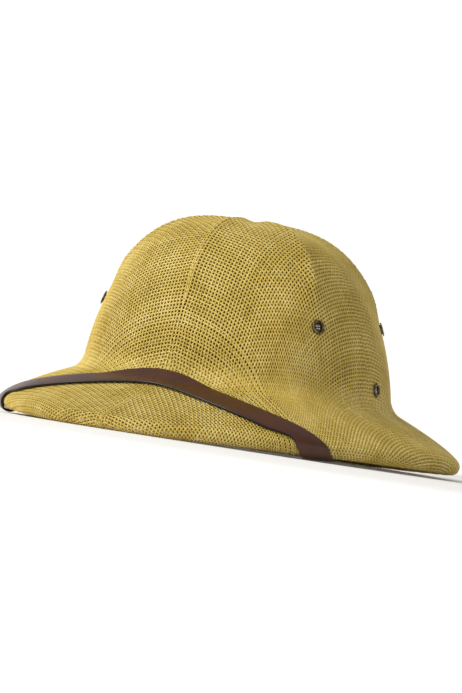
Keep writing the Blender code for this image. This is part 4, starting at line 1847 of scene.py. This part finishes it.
@dataclass
class Studio:
    """Pale seamless floor, one soft light and the photograph's camera."""

    azimuth: float = 28.731
    roll: float = 8.787
    distance: float = 2366.8 * MM
    focal_pixels: float = 3642.0
    long_side: float = 693.0
    sensor: float = 36.0
    camera_height: float = 20 * MM
    target: tuple[float, float, float] = (-6.4 * MM, -3.5 * MM, 64.3 * MM)
    clip_start: float = 50 * MM
    floor_radius: float = 6.0
    floor_rings: int = 12
    sweep_radius: float = 3.0
    sweep_rings: int = 24
    floor_sides: int = 96
    floor_tip: float = 1 * MM
    sky: float = 0.45

    def camera(self) -> None:
        """Camera at the photograph's angle, as low as the floor lets it stand."""
        aim = np.array(self.target)
        azimuth, roll = math.radians(self.azimuth), math.radians(self.roll)
        rise = math.asin((self.camera_height - aim[2]) / self.distance)
        back = np.array([math.sin(azimuth) * math.cos(rise), -math.cos(azimuth) * math.cos(rise),
                         math.sin(rise)])
        right = np.array([math.cos(azimuth), math.sin(azimuth), 0.0])
        up = np.cross(back, right)
        level = right * math.cos(roll) + up * math.sin(roll)
        upright = -right * math.sin(roll) + up * math.cos(roll)
        place = aim + back * self.distance
        data = bpy.data.cameras.new("photo_camera")
        data.sensor_width = self.sensor
        data.lens = self.focal_pixels * self.sensor / self.long_side
        data.clip_start = self.clip_start
        camera = bpy.data.objects.new("photo_camera", data)
        matrix = np.eye(4)
        matrix[:3, 0], matrix[:3, 1], matrix[:3, 2], matrix[:3, 3] = level, upright, back, place
        camera.matrix_world = Matrix(matrix.tolist())
        bpy.context.scene.collection.objects.link(camera)
        bpy.context.scene.camera = camera

    def floor(self) -> None:
        """Round floor that sweeps up all round into a pale wall.

        The section is flat to the floor's radius and then a quarter circle.
        """
        turn = np.linspace(0, math.pi / 2, self.sweep_rings + 1)[1:]
        radius = np.concatenate([np.linspace(self.floor_tip, self.floor_radius, self.floor_rings),
                                 self.floor_radius + self.sweep_radius * np.sin(turn)])
        height = np.concatenate([np.zeros(self.floor_rings),
                                 self.sweep_radius * (1 - np.cos(turn))])
        angle = np.linspace(0, 2 * math.pi, self.floor_sides, endpoint=False)[:, None]
        points = np.stack([radius * np.cos(angle), radius * np.sin(angle), height + 0 * angle], -1)
        faces = grid_quads(self.floor_sides, len(radius), True, False)[:, ::-1]
        mesh = bpy.data.meshes.new("studio_floor")
        mesh.from_pydata(points.reshape(-1, 3).tolist(), [], faces.tolist())
        mesh.shade_smooth()
        mesh.materials.append(LitAcrylic().material())
        floor = bpy.data.objects.new("studio_floor", mesh)
        bpy.context.scene.collection.objects.link(floor)

    def light(self, name: str, azimuth: float, elevation: float, distance: float, size: float,
              power: float, colour: str) -> None:
        """Square area light aimed at the hat.

        Args:
            name: Name of the light.
            azimuth: Degrees round from the front towards +X.
            elevation: Degrees above the floor.
            distance: Metres from the hat.
            size: Side of the light in metres.
            power: Watts.
            colour: Hex colour of the light.
        """
        turn, rise = math.radians(azimuth), math.radians(elevation)
        way = Vector((math.sin(turn) * math.cos(rise), -math.cos(turn) * math.cos(rise),
                      math.sin(rise)))
        data = bpy.data.lights.new(name, "AREA")
        data.shape, data.size, data.energy = "SQUARE", size, power
        data.color = linear(colour)[:3]
        lamp = bpy.data.objects.new(name, data)
        lamp.matrix_world = (Matrix.Translation(Vector(self.target) + way * distance)
                             @ way.to_track_quat("Z", "Y").to_matrix().to_4x4())
        bpy.context.scene.collection.objects.link(lamp)

    def build(self) -> None:
        """Floor, camera, key light and a pale surround."""
        self.floor()
        self.camera()
        self.light("key_light", azimuth=-38, elevation=34, distance=2.4, size=1.3, power=54,
                   colour="FFFCF7")
        world = bpy.data.worlds.new("studio_air")
        world.use_nodes = True
        surround = world.node_tree.nodes["Background"]
        surround.inputs["Color"].default_value = linear("FFFFFF")
        surround.inputs["Strength"].default_value = self.sky
        bpy.context.scene.world = world
        bpy.context.scene.view_settings.view_transform = "Standard"


# ---------------------------------------------------------------- main


def main() -> None:
    """Build every piece of the finished hat and report it."""
    logging.basicConfig(level=logging.INFO, format="%(message)s")
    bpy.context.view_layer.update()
    form = HatForm()
    eyelets, posts = Eyelets(form), StrapPosts(form)
    bronze = AntiqueBronze().material()
    StrawWeave(form).build(WovenStraw().material(), list(eyelets.placed().values()))
    eyelets.build(bronze, ScreenWire().material())
    posts.build(bronze)
    ChinStrap(form, posts).build(GlossyLeather().material())
    Studio().build()


if __name__ == "__main__":
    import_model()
    main()
